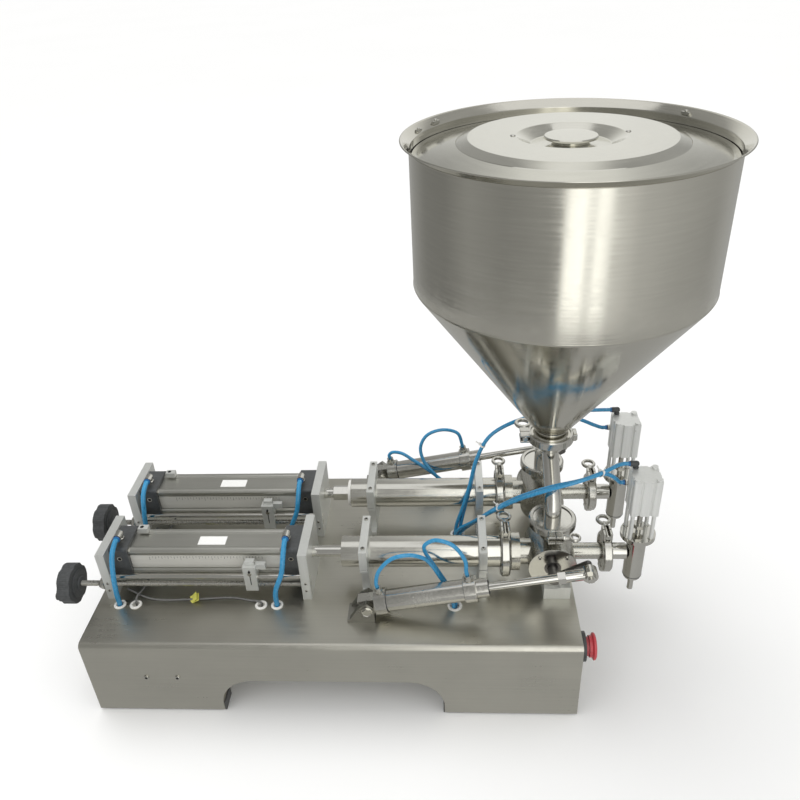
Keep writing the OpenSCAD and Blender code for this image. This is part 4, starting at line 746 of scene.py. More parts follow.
@dataclass
class VolumeAdjusters:
    """Handwheel, threaded screw and sliding stop of each head."""

    wheel_r: float = 0.032
    wheel_t: float = 0.022
    wheel_x: float = -0.429
    wheel_ease: float = 0.0012
    wheel_sides: int = 180
    hollow: float = 0.0022
    flute: float = 0.00045
    hub_r: float = 0.0115
    knob_out: float = 0.0198
    knob_deg: float = 60.0
    screw_r: float = 0.0045
    pitch: float = 0.00175
    nut_hole: float = 0.0047
    offset: float = 0.040
    slot_x: float = -0.1255
    slot_z: tuple[float, float] = (0.178, 0.2085)

    def build(self) -> None:
        """Makes the parts of both heads."""
        for h in HEADS:
            self.wheel(h)
            self.screw(h)
            self.stop(h)

    def outline(self) -> list[tuple[float, float]]:
        """Returns the wheel's lobed and fluted outline."""
        points = []
        for k in range(self.wheel_sides):
            a = math.tau * k / self.wheel_sides
            hollow = self.hollow * max(0.0, math.cos(6 * (a - math.pi / 2))) ** 1.3
            r = self.wheel_r - hollow - (self.flute if k % 3 == 0 else 0)
            points.append((r * math.cos(a), r * math.sin(a)))
        return points

    def wheel(self, h: Head) -> None:
        """Lobed wheel with a stepped hub and a crank knob."""
        x, y, z, e = self.wheel_x, h.y - self.offset, AT.screw_z, self.wheel_ease
        form = Form()
        part = bmesh.new()
        face = part.faces.new([part.verts.new((x + e, y + a, z + b)) for a, b in self.outline()])
        new = bmesh.ops.extrude_face_region(part, geom=[face])["geom"]
        verts = [g for g in new if isinstance(g, bmesh.types.BMVert)]
        bmesh.ops.translate(part, vec=(self.wheel_t - 2 * e, 0, 0), verts=verts)
        rims = [f for f in part.faces if len(f.verts) > 4]
        bmesh.ops.inset_region(part, faces=rims, thickness=0.0022, depth=e)
        form.take(part)
        step = (
            Matrix.Translation((x + 0.95 * self.wheel_t, y, z)) @ Matrix.Scale(self.wheel_r, 4)
            @ Matrix.Scale(0.5, 4, (1, 0, 0)))
        form.lathe(
            [(0, 0.26), (0.62, 0.26), (0.66, 0.2), (0.70, 0.2), (0.70, -0.02), (0.0, -0.02)],
            ORIGIN, "X", 48, step)
        form.bar((x + self.wheel_t - 0.001, y, z), "X", self.hub_r, 0.0065, 0.0012)
        a = math.radians(h.side * self.knob_deg)
        knob = (x, y + self.knob_out * math.sin(a), z - self.knob_out * math.cos(a))
        form.lathe(
            [(0, -0.0088), (0.0055, -0.0088), (0.0074, -0.0074), (0.0076, -0.004), (0.0066, 0.0005),
             (0, 0.0022)], knob, "X", 32)
        form.made(f"handwheel_{h.name}_dressed", DARK_KNOB, f"wheel_{h.name}", [f"handwheel_{h.name}"], 40)

    def screw(self, h: Head) -> None:
        """Screw thread from the wheel to the right end plate, with a lock nut and washer."""
        y, z, r, p = h.y - self.offset, AT.screw_z, self.screw_r, self.pitch
        start, end = self.wheel_x + self.wheel_t, AT.plate2_x + AT.plate_t
        profile = [(0.0, 0.0), (0.8 * r, 0.0)]
        for k in range(int((end - start) / p) - 1):
            profile += [(0.86 * r, (k + 0.35) * p), (r, (k + 0.75) * p)]
            profile += [(r, (k + 0.9) * p), (0.86 * r, (k + 1.25) * p)]
        profile += [(0.8 * r, end - start), (0.0, end - start)]
        form = Form().lathe(profile, (start, y, z), "X", 20)
        form.made(f"adjusting_screw_{h.name}", SCREW_STEEL, f"wheel_{h.name}", (), 50)
        nut = Form().hexagon((AT.plate_x - 0.0082, y, z), "X", 0.0092, 0.006, self.nut_hole)
        nut.ring((AT.plate_x - 0.0020, y, z), "X", 0.0098, self.nut_hole, 0.0016, 0.0003)
        nut.made(f"lock_nut_{h.name}", CHROME, f"wheel_{h.name}")

    def stop(self, h: Head) -> None:
        """Sliding stop with its slot and clamp screw; the slot and the screw's hole are near-black, as
        painted shade.
        """
        body = f"volume_stop_{h.name}"
        dressed(f"stop_block_{h.name}", PLATE_ALLOY, body, 0.0006)
        x, y = self.slot_x, h.y - self.offset
        low, high = self.slot_z
        # Near-black slot and screw hole: painted shade.
        shade_pits = Form().block((x - 0.0007, y - 0.00685, low), (x + 0.0007, y - 0.0063, high), 0.0)
        shade_pits.bar((x, y - 0.0068, 0.2055), "Y", 0.0019, -0.0012)
        shade_pits.made(f"stop_slot_{h.name}", PIT_SHADE_AND_PRINT, body)
        head = Form().bar((x, y - 0.0065, 0.2010), "Y", 0.0030, -0.0016, 0.0)
        head.made(f"stop_screw_{h.name}", CHROME, body)


@dataclass
class RingClamp:
    """A hinged two-part ring clamp with a bolt and an eye nut. Its axis is Z, its bolt is on the -X side."""

    ferrule_r: float
    band: float = 0.0065
    wide: float = 0.014
    eye: float = 1.0
    eye_on_x: bool = False
    ear: float = 0.00975

    def add(self, form: Form, place: Matrix) -> None:
        """Adds the clamp's parts.

        Args:
            form: The shape that takes them.
            place: Where the clamp goes.
        """
        r, w, c = self.ferrule_r + self.band, self.wide, 0.35 * self.band
        inner = self.ferrule_r + 0.0002
        ear = self.ear
        for side in (1, -1):
            half = place if side > 0 else place @ Matrix.Scale(-1, 4, (0, 1, 0))
            self.half_ring(form, half, inner, r, w, c)
            for z in (-w / 2, 0.0031):
                corner = (-r + 0.25 * ear, 1.15 * ear, z + w / 2 - 0.0031)
                form.block((-r - 1.2 * ear, 0.0004, z), corner, 0.0009, half)
            corner = (r + 0.5 * ear, 0.88 * ear, 0.36 * w)
            form.block((r - 0.4 * ear, 0.0004, -0.36 * w), corner, 0.0011, half)
            form.bar((r + 0.12 * ear, 0.5 * ear, -0.5 * w), "Z", 0.0021, w, 0.0004, 16, half)
        for z in (-0.5 * w, 0.5 * w - 0.0018):
            corner = (r + 0.36 * ear, 0.8 * ear, z + 0.0015)
            form.block((r - 0.12 * ear, -0.8 * ear, z + 0.0003), corner, 0.0005, place)
        x = -r - 0.45 * ear
        form.lathe(ridges(0.0027, 3.8 * ear, 0.0014), (x, -1.15 * ear, 0), "Y", 16, place)
        form.ring((x, -1.2 * ear, 0), "Y", 0.0042, 0.0, 0.0022, 0.0005, 16, place)
        form.lathe(
            [(0, 0), (0.0060, 0), (0.0060, 0.0022), (0.0052, 0.0030), (0.0048, 0.0075), (0.0040, 0.0088),
             (0, 0.0088)],
            (x, 1.17 * ear, 0), "Y", 24, place)
        k = self.eye
        centre = place @ Matrix.Translation((x, (1.95 + 0.95 * k) * ear, 0))
        if self.eye_on_x:
            centre = centre @ Matrix.Rotation(math.pi / 2, 4, "Y")
        outer, hole, thick = 0.93 * k * ear, 0.52 * k * ear, 0.27 * ear
        form.lathe(
            [(hole, -0.4 * thick), (hole + 0.3 * thick, -thick), (outer - 0.5 * thick, -thick),
             (outer, -0.3 * thick), (outer, 0.3 * thick), (outer - 0.5 * thick, thick),
             (hole + 0.3 * thick, thick), (hole, 0.4 * thick)],
            ORIGIN, "Z", 40, centre)

    def half_ring(self, form: Form, place: Matrix, inner: float, r: float, w: float, c: float) -> None:
        """Adds one half of the ring, cut flat at the split."""
        part = bmesh.new()
        t = w / 2
        profile = [(inner, -t), (r - c, -t), (r, -t + c), (r, t - c), (r - c, t), (inner, t)]
        face = part.faces.new([part.verts.new((a, 0.0004, b)) for a, b in profile])
        bmesh.ops.spin(
            part, geom=[face], cent=(0, 0.0004, 0), axis=(0, 0, 1), angle=math.pi, steps=32, use_merge=False)
        bmesh.ops.holes_fill(part, edges=[e for e in part.edges if e.is_boundary])
        form.take(part, 0.0, place)


def ridges(r: float, length: float, pitch: float) -> list[tuple[float, float]]:
    """Returns the turned profile of a thread of radius r: one ridge to each pitch."""
    profile = [(0.0, 0.0), (0.8 * r, 0.0)]
    for k in range(int(length / pitch) - 1):
        profile += [(0.84 * r, (k + 0.35) * pitch), (r, (k + 0.75) * pitch), (0.84 * r, (k + 1.15) * pitch)]
    return profile + [(0.8 * r, length), (0.0, length)]


def on_x(x: float, y: float) -> Matrix:
    """Returns the placement of a clamp whose axis is X and whose bolt is on top."""
    return Matrix.Translation((x, y, AT.axis_z)) @ Matrix.Rotation(math.pi / 2, 4, "Y")


@dataclass
class Clamps:
    """Every ring clamp of the machine."""

    tube_ferrule_r: float = 0.0321
    outlet_ferrule_r: float = 0.02477
    port_ferrule_r: float = 0.02858
    neck_ferrule_r: float = 0.030

    def build(self) -> None:
        """Makes the clamps of the tubes, outlets, ports and neck."""
        tubes, outlets, ports, neck = Form(), Form(), Form(), Form()
        for h in HEADS:
            RingClamp(self.tube_ferrule_r, eye=1.3, eye_on_x=True).add(tubes, on_x(AT.tube_end_x, h.y))
            RingClamp(self.outlet_ferrule_r, eye=1.3, eye_on_x=True).add(outlets, on_x(AT.outlet_x, h.y))
            place = (
                Matrix.Translation((AT.hopper_x, h.y, AT.port_z)) @ Matrix.Scale(-h.side, 4, (0, 1, 0))
                @ Matrix.Scale(-1, 4, (1, 0, 0)) @ Matrix.Rotation(math.pi / 2, 4, "Z"))
            RingClamp(self.port_ferrule_r).add(ports, place)
        RingClamp(self.neck_ferrule_r, band=0.00455, eye=1.45).add(
            neck, Matrix.Translation((AT.hopper_x, AT.mid_y, AT.neck_z)))
        tubes.made("tube_clamps_dressed", CHROME, replaces=["tube_clamps"])
        outlets.made("outlet_clamps_dressed", CHROME, replaces=["outlet_clamps"])
        ports.made("port_clamps_dressed", CHROME, replaces=["port_clamps"])
        neck.made("neck_clamp_dressed", CHROME, replaces=["neck_clamp"])


@dataclass
class Metering:
    """Metering tubes with their brackets, pistons and rods."""

    gasket_t: float = 0.0006
    tube_gasket: tuple[float, float] = (0.0322, 0.0236)
    outlet_gasket: tuple[float, float] = (0.0249, 0.0132)

    def build(self) -> None:
        """Dresses the tubes, brackets and moving pistons."""
        dressed("tube_brackets", PLATE_ALLOY, bevel=0.0008)
        for h in HEADS:
            dressed(f"metering_tube_{h.name}", TUBE_STEEL, bevel=0.0003)
            dressed(f"piston_rod_{h.name}", MIRROR, f"piston_{h.name}", 0.0006)
            dressed(f"pistons_{h.name}", NYLON, f"piston_{h.name}", 0.0004)
        self.gaskets()

    def gaskets(self) -> None:
        """White gaskets that show as thin rings at the clamped joints."""
        form = Form()
        t = self.gasket_t
        for h in HEADS:
            for x, radii in ((AT.tube_end_x, self.tube_gasket), (AT.outlet_x, self.outlet_gasket)):
                form.ring((x - t / 2, h.y, AT.axis_z), "X", *radii, t)
        form.made("joint_gaskets", NYLON)


@dataclass
class Valves:
    """Rotary valves, their cranks and the air cylinders that turn them."""

    pivot: tuple[float, float] = (0.059, 0.172)
    pin: tuple[float, float] = (0.3857654, 0.233)
    cap_r: float = 0.020
    depth: float = 0.066
    cover_t: float = 0.005
    cover_screw_out: float = 0.0285
    cover_screw_size: float = 0.85
    cap_l: float = 0.031
    tube_share: float = 0.355

    def build(self) -> None:
        """Dresses both valves and their drives."""
        dressed("valve_covers", CHROME, bevel=0.0008)
        dressed("valve_stands", PLATE_ALLOY, bevel=0.0008)
        dressed("drive_brackets", BRACKET_STEEL, bevel=0.0006)
        for h in HEADS:
            dressed(f"valve_body_{h.name}", CAST, bevel=0.0005)
            dressed(f"crank_{h.name}", DARK_STEEL, f"crank_{h.name}", 0.0005)
            dressed(f"drive_cylinder_{h.name}", CHROME, f"drive_{h.name}", 0.0005)
            dressed(f"drive_rod_{h.name}", MIRROR, f"drive_rod_{h.name}", 0.0005)
            self.cover_details(h)
            self.drive_details(h)

    def cover_details(self, h: Head) -> None:
        """Seal round the shaft and small screws on the cover."""
        y = h.y + h.side * (self.depth / 2 + self.cover_t)
        form = Form()
        form.ring((AT.hopper_x, y - h.side * 0.0002, AT.axis_z), "Y", 0.0125, 0.0083, h.side * 0.0012)
        form.made(f"valve_seal_{h.name}", DARK_STEEL)
        places = []
        for k in range(4):
            a, out = math.radians(45 + 90 * k), self.cover_screw_out
            at = (AT.hopper_x + out * math.cos(a), y, AT.axis_z + out * math.sin(a))
            places.append((at, (0, h.side, 0), self.cover_screw_size))
        Screws().build(f"cover_screws_{h.name}", places)

    def along(self, h: Head) -> Matrix:
        """Returns the placement that puts local X along the drive cylinder, from pivot to crank pin."""
        (x, z), (pin_x, pin_z) = self.pivot, self.pin
        tilt = math.atan2(pin_z - z, pin_x - x)
        return Matrix.Translation((x, h.y + h.side * h.drive, z)) @ Matrix.Rotation(-tilt, 4, "Y")

    def drive_details(self, h: Head) -> None:
        """Rings on the caps, dark seals, port collars, and washers and nuts of the pivot."""
        place = self.along(h)
        length = math.hypot(self.pin[0] - self.pivot[0], self.pin[1] - self.pivot[1])
        nose = self.cap_l + self.tube_share * length
        rings, seals = Form(), Form()
        for x in (0.0140, 0.0290, nose + 0.001, nose + 0.0160):
            rings.ring(
                (x - 0.0006, 0, 0), "X", self.cap_r + 0.00025, self.cap_r - 0.002, 0.0012, 0.0003, 48, place)
        for x in (0.0308, nose - 0.0008):
            seals.ring((x, 0, 0), "X", 0.0171, 0.0160, 0.0010, 0.0, 48, place)
        seals.ring((nose + 0.0358, 0, 0), "X", 0.0105, 0.0062, 0.0006, 0.0, 32, place)
        for side in (-1, 1):
            rings.ring((0, side * 0.0171, 0), "Y", 0.0086, 0.0061, side * 0.0013, 0.0002, 32, place)
            rings.hexagon((0, side * 0.0184, 0), "Y", 0.0074, side * 0.0024, 0.0, place)
        for x in (0.022, nose + 0.009):
            rings.hexagon((x, 0, 0.0205), "Z", 0.0068, 0.0045, 0.0, place)
            seals.ring((x, 0, 0.0256), "Z", 0.0054, 0.0031, 0.0016, 0.0003, 32, place)
        rings.made(f"drive_rings_{h.name}", MIRROR, f"drive_{h.name}")
        seals.made(f"drive_seals_{h.name}", DARK_KNOB, f"drive_{h.name}")


@dataclass
class Hopper:
    """The covered cone vessel, its lid and knob, and the branch pipes under it."""

    r: float = 0.199
    t: float = 0.002
    rim_z: float = 0.820
    flare_w: float = 0.010
    lip_r: float = 0.001
    neck_r: float = 0.025
    lid_r: float = 0.1958
    lid_t: float = 0.0015
    lid_z: float = 0.7975
    step_h: float = 0.018
    dish_h: float = 0.00756
    gap: float = 0.0002
    rivets: tuple[tuple[float, float], ...] = ((0.2687, 0.0135), (0.4085, 0.0150))
    lug_z: float = 0.8114
    lug_places: tuple[tuple[float, float], ...] = ((146.5, 0.0048), (160.5, 0.0038), (33.5, 0.0044))

    def build(self) -> None:
        """Makes vessel, lid and knob, and dresses the pipes under them."""
        self.vessel()
        self.lid()
        self.lugs()
        dressed("manifold", MIRROR, bevel=0.0)

    def centre(self, z: float = 0.0) -> tuple[float, float, float]:
        """Returns a point on the vessel's axis."""
        return (AT.hopper_x, AT.mid_y, z)

    def vessel(self) -> None:
        """Spun vessel: neck, cone, straight wall, flare and rolled rim, in one closed wall."""
        r, top, out, lip = self.r, self.rim_z, self.r + self.flare_w, self.lip_r
        outer = [
            (0.030, 0.374), (0.030, 0.379), (0.0262, 0.3792), (0.025, 0.3804), (0.025, 0.3875),
            (0.0256, 0.3890), (0.19787, 0.6285), (0.19859, 0.6298), (0.19895, 0.63125), (0.199, 0.632),
            (r, 0.8093), (r + 0.0006, 0.8106), (out - 0.0006, top - 0.0012)]
        turns = (math.radians(d) for d in range(-30, 151, 30))
        rim = [(out + lip * math.cos(a), top - lip + lip * math.sin(a)) for a in turns]
        inner = [(x - self.t, z) for x, z in reversed(outer[6:])]
        wall = outer + rim + inner + [(0.0232, 0.3885), (0.023, 0.374)]
        vessel = Form().lathe(wall, self.centre(), "Z", 160)
        vessel.made("hopper_dressed", SPUN, replaces=["hopper", "hopper_cone"], crease=24)
        bead = Form().coil(self.centre(0.6318), "Z", r, 0.00045, 160, 8)
        bead.coil(self.centre(0.8098), "Z", r + 0.0002, 0.0004, 160, 8)
        bead.coil(self.centre(0.3886), "Z", self.neck_r + 0.0004, 0.0007, 96, 8)
        bead.made("hopper_seams", SPUN)

    def lid(self) -> None:
        """Stepped lid with a dish, rivets and a turned knob."""
        t, z, step, dish = self.lid_t, self.lid_z + self.gap, self.step_h, self.dish_h
        top = [
            (self.lid_r, 0.0), (0.1880, 0.0), (0.1410, 0.0119), (0.1402, 0.0125), (0.1276, 0.0176),
            (0.1264, step), (0.0668, step), (0.0655, 0.0175), (0.0492, 0.0079), (0.0480, dish), (0.0, dish)]
        wall = [(r, z + h) for r, h in reversed(top)] + [(r, z + h + t) for r, h in top]
        lid = Form().lathe(wall, self.centre(), "Z", 144)
        lid.made("hopper_lid_dressed", LID_STEEL, "lid", ["hopper_lid"], 14)
        knob = Form().lathe(
            [(0, 0), (0.0236, 0), (0.0236, 0.0006), (0.0222, 0.0012), (0.0222, 0.0056), (0.0316, 0.0062),
             (0.0330, 0.0068), (0.0330, 0.0088), (0.0320, 0.0098), (0.0290, 0.0100), (0, 0.0099)],
            self.centre(z + dish + t + self.gap), "Z", 96)
        knob.made("lid_knob_dressed", LID_STEEL, "lid", ["lid_knob"], 30)
        rivets = Form()
        for x, y in self.rivets:
            rivets.lathe(
                [(0, -0.0004), (0.0034, -0.0004), (0.0034, 0.0003), (0.0026, 0.0011), (0.0012, 0.0014),
                 (0, 0.0014)], (x, y, z + step + t), "Z", 24)
        rivets.made("lid_rivets", CHROME, "lid")

    def lugs(self) -> None:
        """Small lugs with a pin inside the flare."""
        form = Form()
        for degrees, tall in self.lug_places:
            turn = Matrix.Rotation(math.radians(degrees), 4, "Z")
            place = Matrix.Translation(self.centre(self.lug_z)) @ turn
            form.block((0.1969, -0.007, 0.0), (0.2006, 0.007, tall), 0.0008, place)
            form.bar((0.1993, 0, tall - 0.0006), "Z", 0.0023, 0.0026, 0.0006, 20, place)
        form.made("rim_lugs", CHROME)


@dataclass
class Outlets:
    """Outlet pipes, nozzles and the small square cylinders on them."""

    flange_z: float = 0.24521
    foot_z: float = 0.29109
    tip_seal_z: float = 0.1601
    standoff_at: float = 0.015375

    def build(self) -> None:
        """Dresses the outlets and adds seals and washers."""
        dressed("outlet_pipes", MIRROR, bevel=0.0004)
        seals, washers = Form(), Form()
        for h in HEADS:
            dressed(f"nozzle_body_{h.name}", MIRROR, bevel=0.0007)
            dressed(f"nozzle_cylinder_{h.name}", NOZZLE_ALLOY, bevel=0.0)
            dressed(f"nozzle_stem_{h.name}", CHROME, f"stem_{h.name}", 0.0004)
            seals.ring((AT.nozzle_x, h.y, self.tip_seal_z), "Z", 0.01475, 0.0125, 0.0016, 0.0003)
            seals.ring((AT.nozzle_x, h.y, self.foot_z - 0.0010), "Z", 0.0088, 0.0042, 0.0010, 0.0002)
            for sx, sy in CORNERS:
                foot = (AT.nozzle_x + sx * self.standoff_at, h.y + sy * self.standoff_at, self.flange_z)
                washers.ring(foot, "Z", 0.0046, 0.0031, 0.0009, 0.0002)
        seals.made("nozzle_seals", DARK_KNOB)
        washers.made("standoff_washers", CHROME)


TUBE_PAIRS = {
    "left": [(-335.82, -82.2, 246.8), (-335.82, -88.2, 246.8), (-335.82, -106, 238), (-336.31, -118, 212),
             (-338.15, -123, 176), (-338.25, -123, 138)],
    "right": [(-69.04, -82.2, 246.8), (-69.04, -88.2, 246.8), (-69.04, -106, 238), (-72.48, -118, 212),
              (-85.56, -123, 176), (-86.25, -123, 138)],
}
NOZZLE_TUBES = {
    "rear_top": [(193.8, 44.2, 138), (193.8, 44.2, 151), (196, 46.2, 166), (206, 48, 200), (218, 53, 244),
                 (230, 59, 296), (252, 67, 335), (300, 81, 356), (350, 92, 359), (400, 98, 360.6),
                 (439.9, 98.58, 361.19), (445.9, 98.58, 361.19)],
    "rear_side": [(200.2, 44.2, 138), (200.2, 44.2, 151), (203, 47.4, 166), (210, 54, 197), (220, 60, 240),
                  (231, 65.5, 292), (252, 73, 330.5), (300, 86.5, 351), (350, 95, 351), (392, 99, 345),
                  (424, 99, 331), (435.3, 98.58, 327.05), (441.3, 98.58, 327.05)],
    "front_top": [(193.8, 37.8, 138), (193.8, 37.8, 151), (200.5, 34, 166), (222, 23, 190), (250, -2, 232),
                  (288, -45, 293), (330, -82, 342), (372, -82, 357), (410, -66, 362), (430, -51.5, 361.6),
                  (439.9, -47.42, 361.19), (445.9, -47.42, 361.19)],
    "front_side": [(200.2, 37.8, 138), (200.2, 37.8, 151), (208.5, 36, 164), (227, 28.5, 187),
                   (252, 4.5, 230), (290.6, -39.8, 294.2), (331.8, -74.5, 340.3), (372.5, -76, 352.8),
                   (408, -62, 354), (420, -56, 346.5), (429, -51.5, 337), (433.5, -49, 330.8),
                   (437.3, -47.42, 327.05), (441.3, -47.42, 327.05)],
}
DRIVE_TUBES = {
    "front": (
        [(75.032, -77, 206.017), (73.932, -77, 211.915), (79, -77, 236), (100, -76, 261), (126, -73, 265),
         (146, -68, 254), (157, -61, 234), (168, -57.3, 208), (182, -57.5, 178), (188.3, -62.6, 153),
         (188.5, -63, 138)],
        [(208.725, -77, 230.967), (207.624, -77, 236.865), (206, -77, 258), (188, -76, 287), (164, -72, 293),
         (148, -66, 278), (148, -59, 258), (157, -54.3, 234), (168, -50.6, 208), (182, -50.4, 178),
         (191.4, -56.3, 153), (192, -56.8, 138)],
    ),
    "rear": (
        [(75.032, -102, 206.017), (73.932, -102, 211.915), (80, -101, 219), (97, -97, 220), (118, -91, 209),
         (142, -82, 196), (163, -76, 181), (182, -68.2, 165), (188.3, -63.4, 152), (188.5, -63, 138)],
        [(208.725, -102, 230.967), (207.624, -102, 236.865), (200, -101.5, 260), (173, -98, 270),
         (145, -94, 261), (133, -89, 238), (139, -80, 213), (156, -71, 194), (172.5, -64.6, 175),
         (188.5, -58.5, 158), (191.8, -56.8, 149), (192, -56.8, 138)],
    ),
}
CABLES = {
    "stop": [(-334, -95, 154.6), (-290, -112, 149.8), (-226, -113, 149.8), (-160, -109, 149.8),
             (-127, -115.3, 149.8), (-121.8, -117, 151.8), (-118, -118.2, 151.8), (-113.4, -119.4, 151.8),
             (-112, -119.6, 148), (-112, -119.6, 138)],
    "end": [(-303, -72, 179.3), (-303, -77, 164), (-307, -95, 157), (-312, -113, 157), (-313, -119.6, 151),
            (-313, -119.6, 138)],
}
# Each tie: middle between its tubes in mm, the way they run, from one to the other, half its width in mm
TIES = (
    ((263.2, -12.6, 251.8), (0.436, -0.514, 0.738), (3.15, 4.63, 1.37), 6.3),
    ((403.9, -66.5, 357.8), (0.879, 0.472, 0.063), (-1.97, 4.69, -7.73), 8.2),
    ((239.8, 65.9, 316.1), (0.451, 0.168, 0.877), (1.57, 6.66, -2.08), 7.1),
)


def metres(route: Iterable[Point], y: float = 0.0, flip: int = 1) -> list[Vector]:
    """Turns a route in millimetres into metres, with its Y turned over and moved by y metres."""
    return [Vector((p[0] / 1000, y + flip * p[1] / 1000, p[2] / 1000)) for p in route]


@dataclass
class Airlines:
    """Air fittings, blue tubes, sensor cables and the white ties on them."""

    elbow_r: float = 0.006
    hose_r: float = 0.004
    thin_r: float = 0.003
    cable_r: float = 0.0016
    pitch: float = 0.146
    port_x: tuple[float, float] = (-0.33582, -0.06904)
    port_in: float = 0.0048
    port_z: float = 0.236
    nozzle_y: float = 0.01558
    nozzle_top: tuple[float, float] = (0.4567, 0.35309)
    nozzle_side: tuple[float, float] = (0.4485, 0.32705)
    plate_z: float = 0.152
    tag_at: tuple[float, float, float] = (-0.2235, -0.1125, 0.1502)
    tag_turns: tuple[float, float] = (28, 50)
    tag_lean: float = 24

    def build(self) -> None:
        """Makes fittings, tubes, cables and ties."""
        self.fittings()
        self.tubes()
        self.drive_tubes()
        self.cables()
        self.ties()

    def elbow(self, bright: Form, dark: Form, collars: Form, place: Matrix) -> None:
        """Adds one push-in elbow, whose stud stands along local Z and whose arm lies along local X."""
        r = self.elbow_r
        rise = 1.8 * r
        bright.hexagon(ORIGIN, "Z", r, 0.7 * r, 0.0, place)
        bright.bar((0, 0, 0.7 * r), "Z", 0.72 * r, rise + 0.1 * r, 0.1 * r, 28, place)
        bright.ring((0, 0, 0.85 * r), "Z", 0.75 * r, 0.4 * r, 0.12 * r, 0.02 * r, 28, place)
        bright.lathe(
            [(0, -0.93 * r), (0.55 * r, -0.90 * r), (0.86 * r, -0.62 * r), (0.97 * r, -0.2 * r),
             (0.98 * r, 1.62 * r), (0.9 * r, 1.7 * r), (0, 1.7 * r)], (0, 0, rise), "X", 32, place)
        dark.ring((1.7 * r, 0, rise), "X", 0.97 * r, 0.6 * r, 0.24 * r, 0.05 * r, 32, place)
        collars.lathe(
            [(0.70 * r, 0), (0.80 * r, 0), (0.80 * r, 0.22 * r), (0.92 * r, 0.28 * r),
             (0.92 * r, 0.42 * r), (0.70 * r, 0.46 * r)], (1.94 * r, 0, rise), "X", 32, place)

    def fittings(self) -> None:
        """Elbows on the cylinder caps and the nozzle cylinders, and the straight side fittings."""
        bright, dark, collars = Form(), Form(), Form()
        k = self.thin_r / self.hose_r
        for h in HEADS:
            for x in self.port_x:
                foot = Matrix.Translation((x, h.y - self.port_in, self.port_z))
                self.elbow(bright, dark, collars, foot @ Matrix.Rotation(-math.pi / 2, 4, "Z"))
            y, (x, z) = h.y + self.nozzle_y, self.nozzle_top
            place = Matrix.Translation((x, y, z)) @ Matrix.Rotation(math.pi, 4, "Z")
            self.elbow(dark, dark, collars, place @ Matrix.Scale(k, 4))
            (x, z), r = self.nozzle_side, k * self.elbow_r
            bright.ring((x, y, z), "X", 0.99 * r, 0.6 * r, -0.0038, 0.0, 6)
            dark.ring((x - 0.0038, y, z), "X", 0.92 * r, 0.6 * r, -0.0012, 0.0)
            collars.ring((x - 0.0050, y, z), "X", 0.86 * r, 0.70 * r, -0.0022, 0.0)
        bright.made("air_fittings_dressed", CHROME, replaces=["air_fittings"])
        dark.made("fitting_rings", DARK_KNOB)
        collars.made("fitting_collars", BLUE_COLLAR)

    def tubes(self) -> None:
        """Tubes from the plate to the cylinder caps and the nozzle cylinders."""
        form = Form()
        for k in range(2):
            for route in TUBE_PAIRS.values():
                form.sweep(metres(route, k * self.pitch), self.hose_r, 20, 7)
        for route in NOZZLE_TUBES.values():
            form.sweep(metres(route), self.thin_r, 18, 8)
        form.made("air_tubes_dressed", BLUE_TUBE, replaces=["air_tubes"])

    def drive_tubes(self) -> None:
        """Tubes of the valve drives, made in place and left on no body."""
        for h in HEADS:
            for k, route in enumerate(DRIVE_TUBES[h.name]):
                line = metres(route, h.y, -h.side)
                name = f"drive_tubes_{h.name}"
                tube = Form().sweep(line, self.thin_r, 18, 8)
                piece = tube.made(f"{name}_{k}", BLUE_TUBE, "", [name] if k == 0 else [])
                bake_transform(piece)

    def cables(self) -> None:
        """Cables of the end switches and stop switches, with a yellow marker."""
        form = Form()
        for k in range(2):
            for route in CABLES.values():
                form.sweep(metres(route, k * self.pitch), self.cable_r, 12, 6)
        form.made("sensor_cables_dressed", CABLE, replaces=["sensor_cables"])
        tags = Form()
        x, y, z = self.tag_at
        lean = Matrix.Rotation(math.radians(self.tag_lean), 4, "X")
        for k in range(2):
            for degrees in self.tag_turns:
                turn = Matrix.Rotation(math.radians(-degrees), 4, "Y")
                place = Matrix.Translation((x, y + k * self.pitch, z)) @ turn @ lean
                tags.block((-0.0050, -0.0070, 0.0), (0.0125, 0.0060, 0.0009), 0.0003, place)
        tags.made("cable_tags", YELLOW_TAG)

    def ties(self) -> None:
        """White ties round pairs of tubes."""
        form = Form()
        for centre, heading, across, half in TIES:
            self.tie(form, Vector(centre) / 1000, Vector(heading), Vector(across), half / 1000)
        form.made("tube_ties", NYLON)

    def tie(self, form: Form, centre: Vector, heading: Vector, across: Vector, half: float) -> None:
        """Adds one tie: a flat band and its lock.

        Args:
            form: The shape that takes it.
            centre: Middle between the two tubes.
            heading: The way the tubes run.
            across: From one tube to the other.
            half: Half of the band's width over both tubes.
        """
        z = heading.normalized()
        x = (across - z * across.dot(z)).normalized()
        y = z.cross(x)
        turn = Matrix((x, y, z)).transposed().to_4x4()
        place = Matrix.Translation(centre) @ turn
        r = self.thin_r + 0.0003
        band = place @ Matrix.Scale(half / r, 4, (1, 0, 0))
        form.ring((0, 0, -0.0013), "Z", r + 0.0007, r, 0.0026, 0.0001, 40, band)
        form.block((-0.0020, r + 0.0002, -0.0022), (0.0022, r + 0.0036, 0.0022), 0.0005, place)
        form.block((-0.0008, r + 0.0030, -0.0011), (0.0006, r + 0.0100, 0.0011), 0.0002, place)


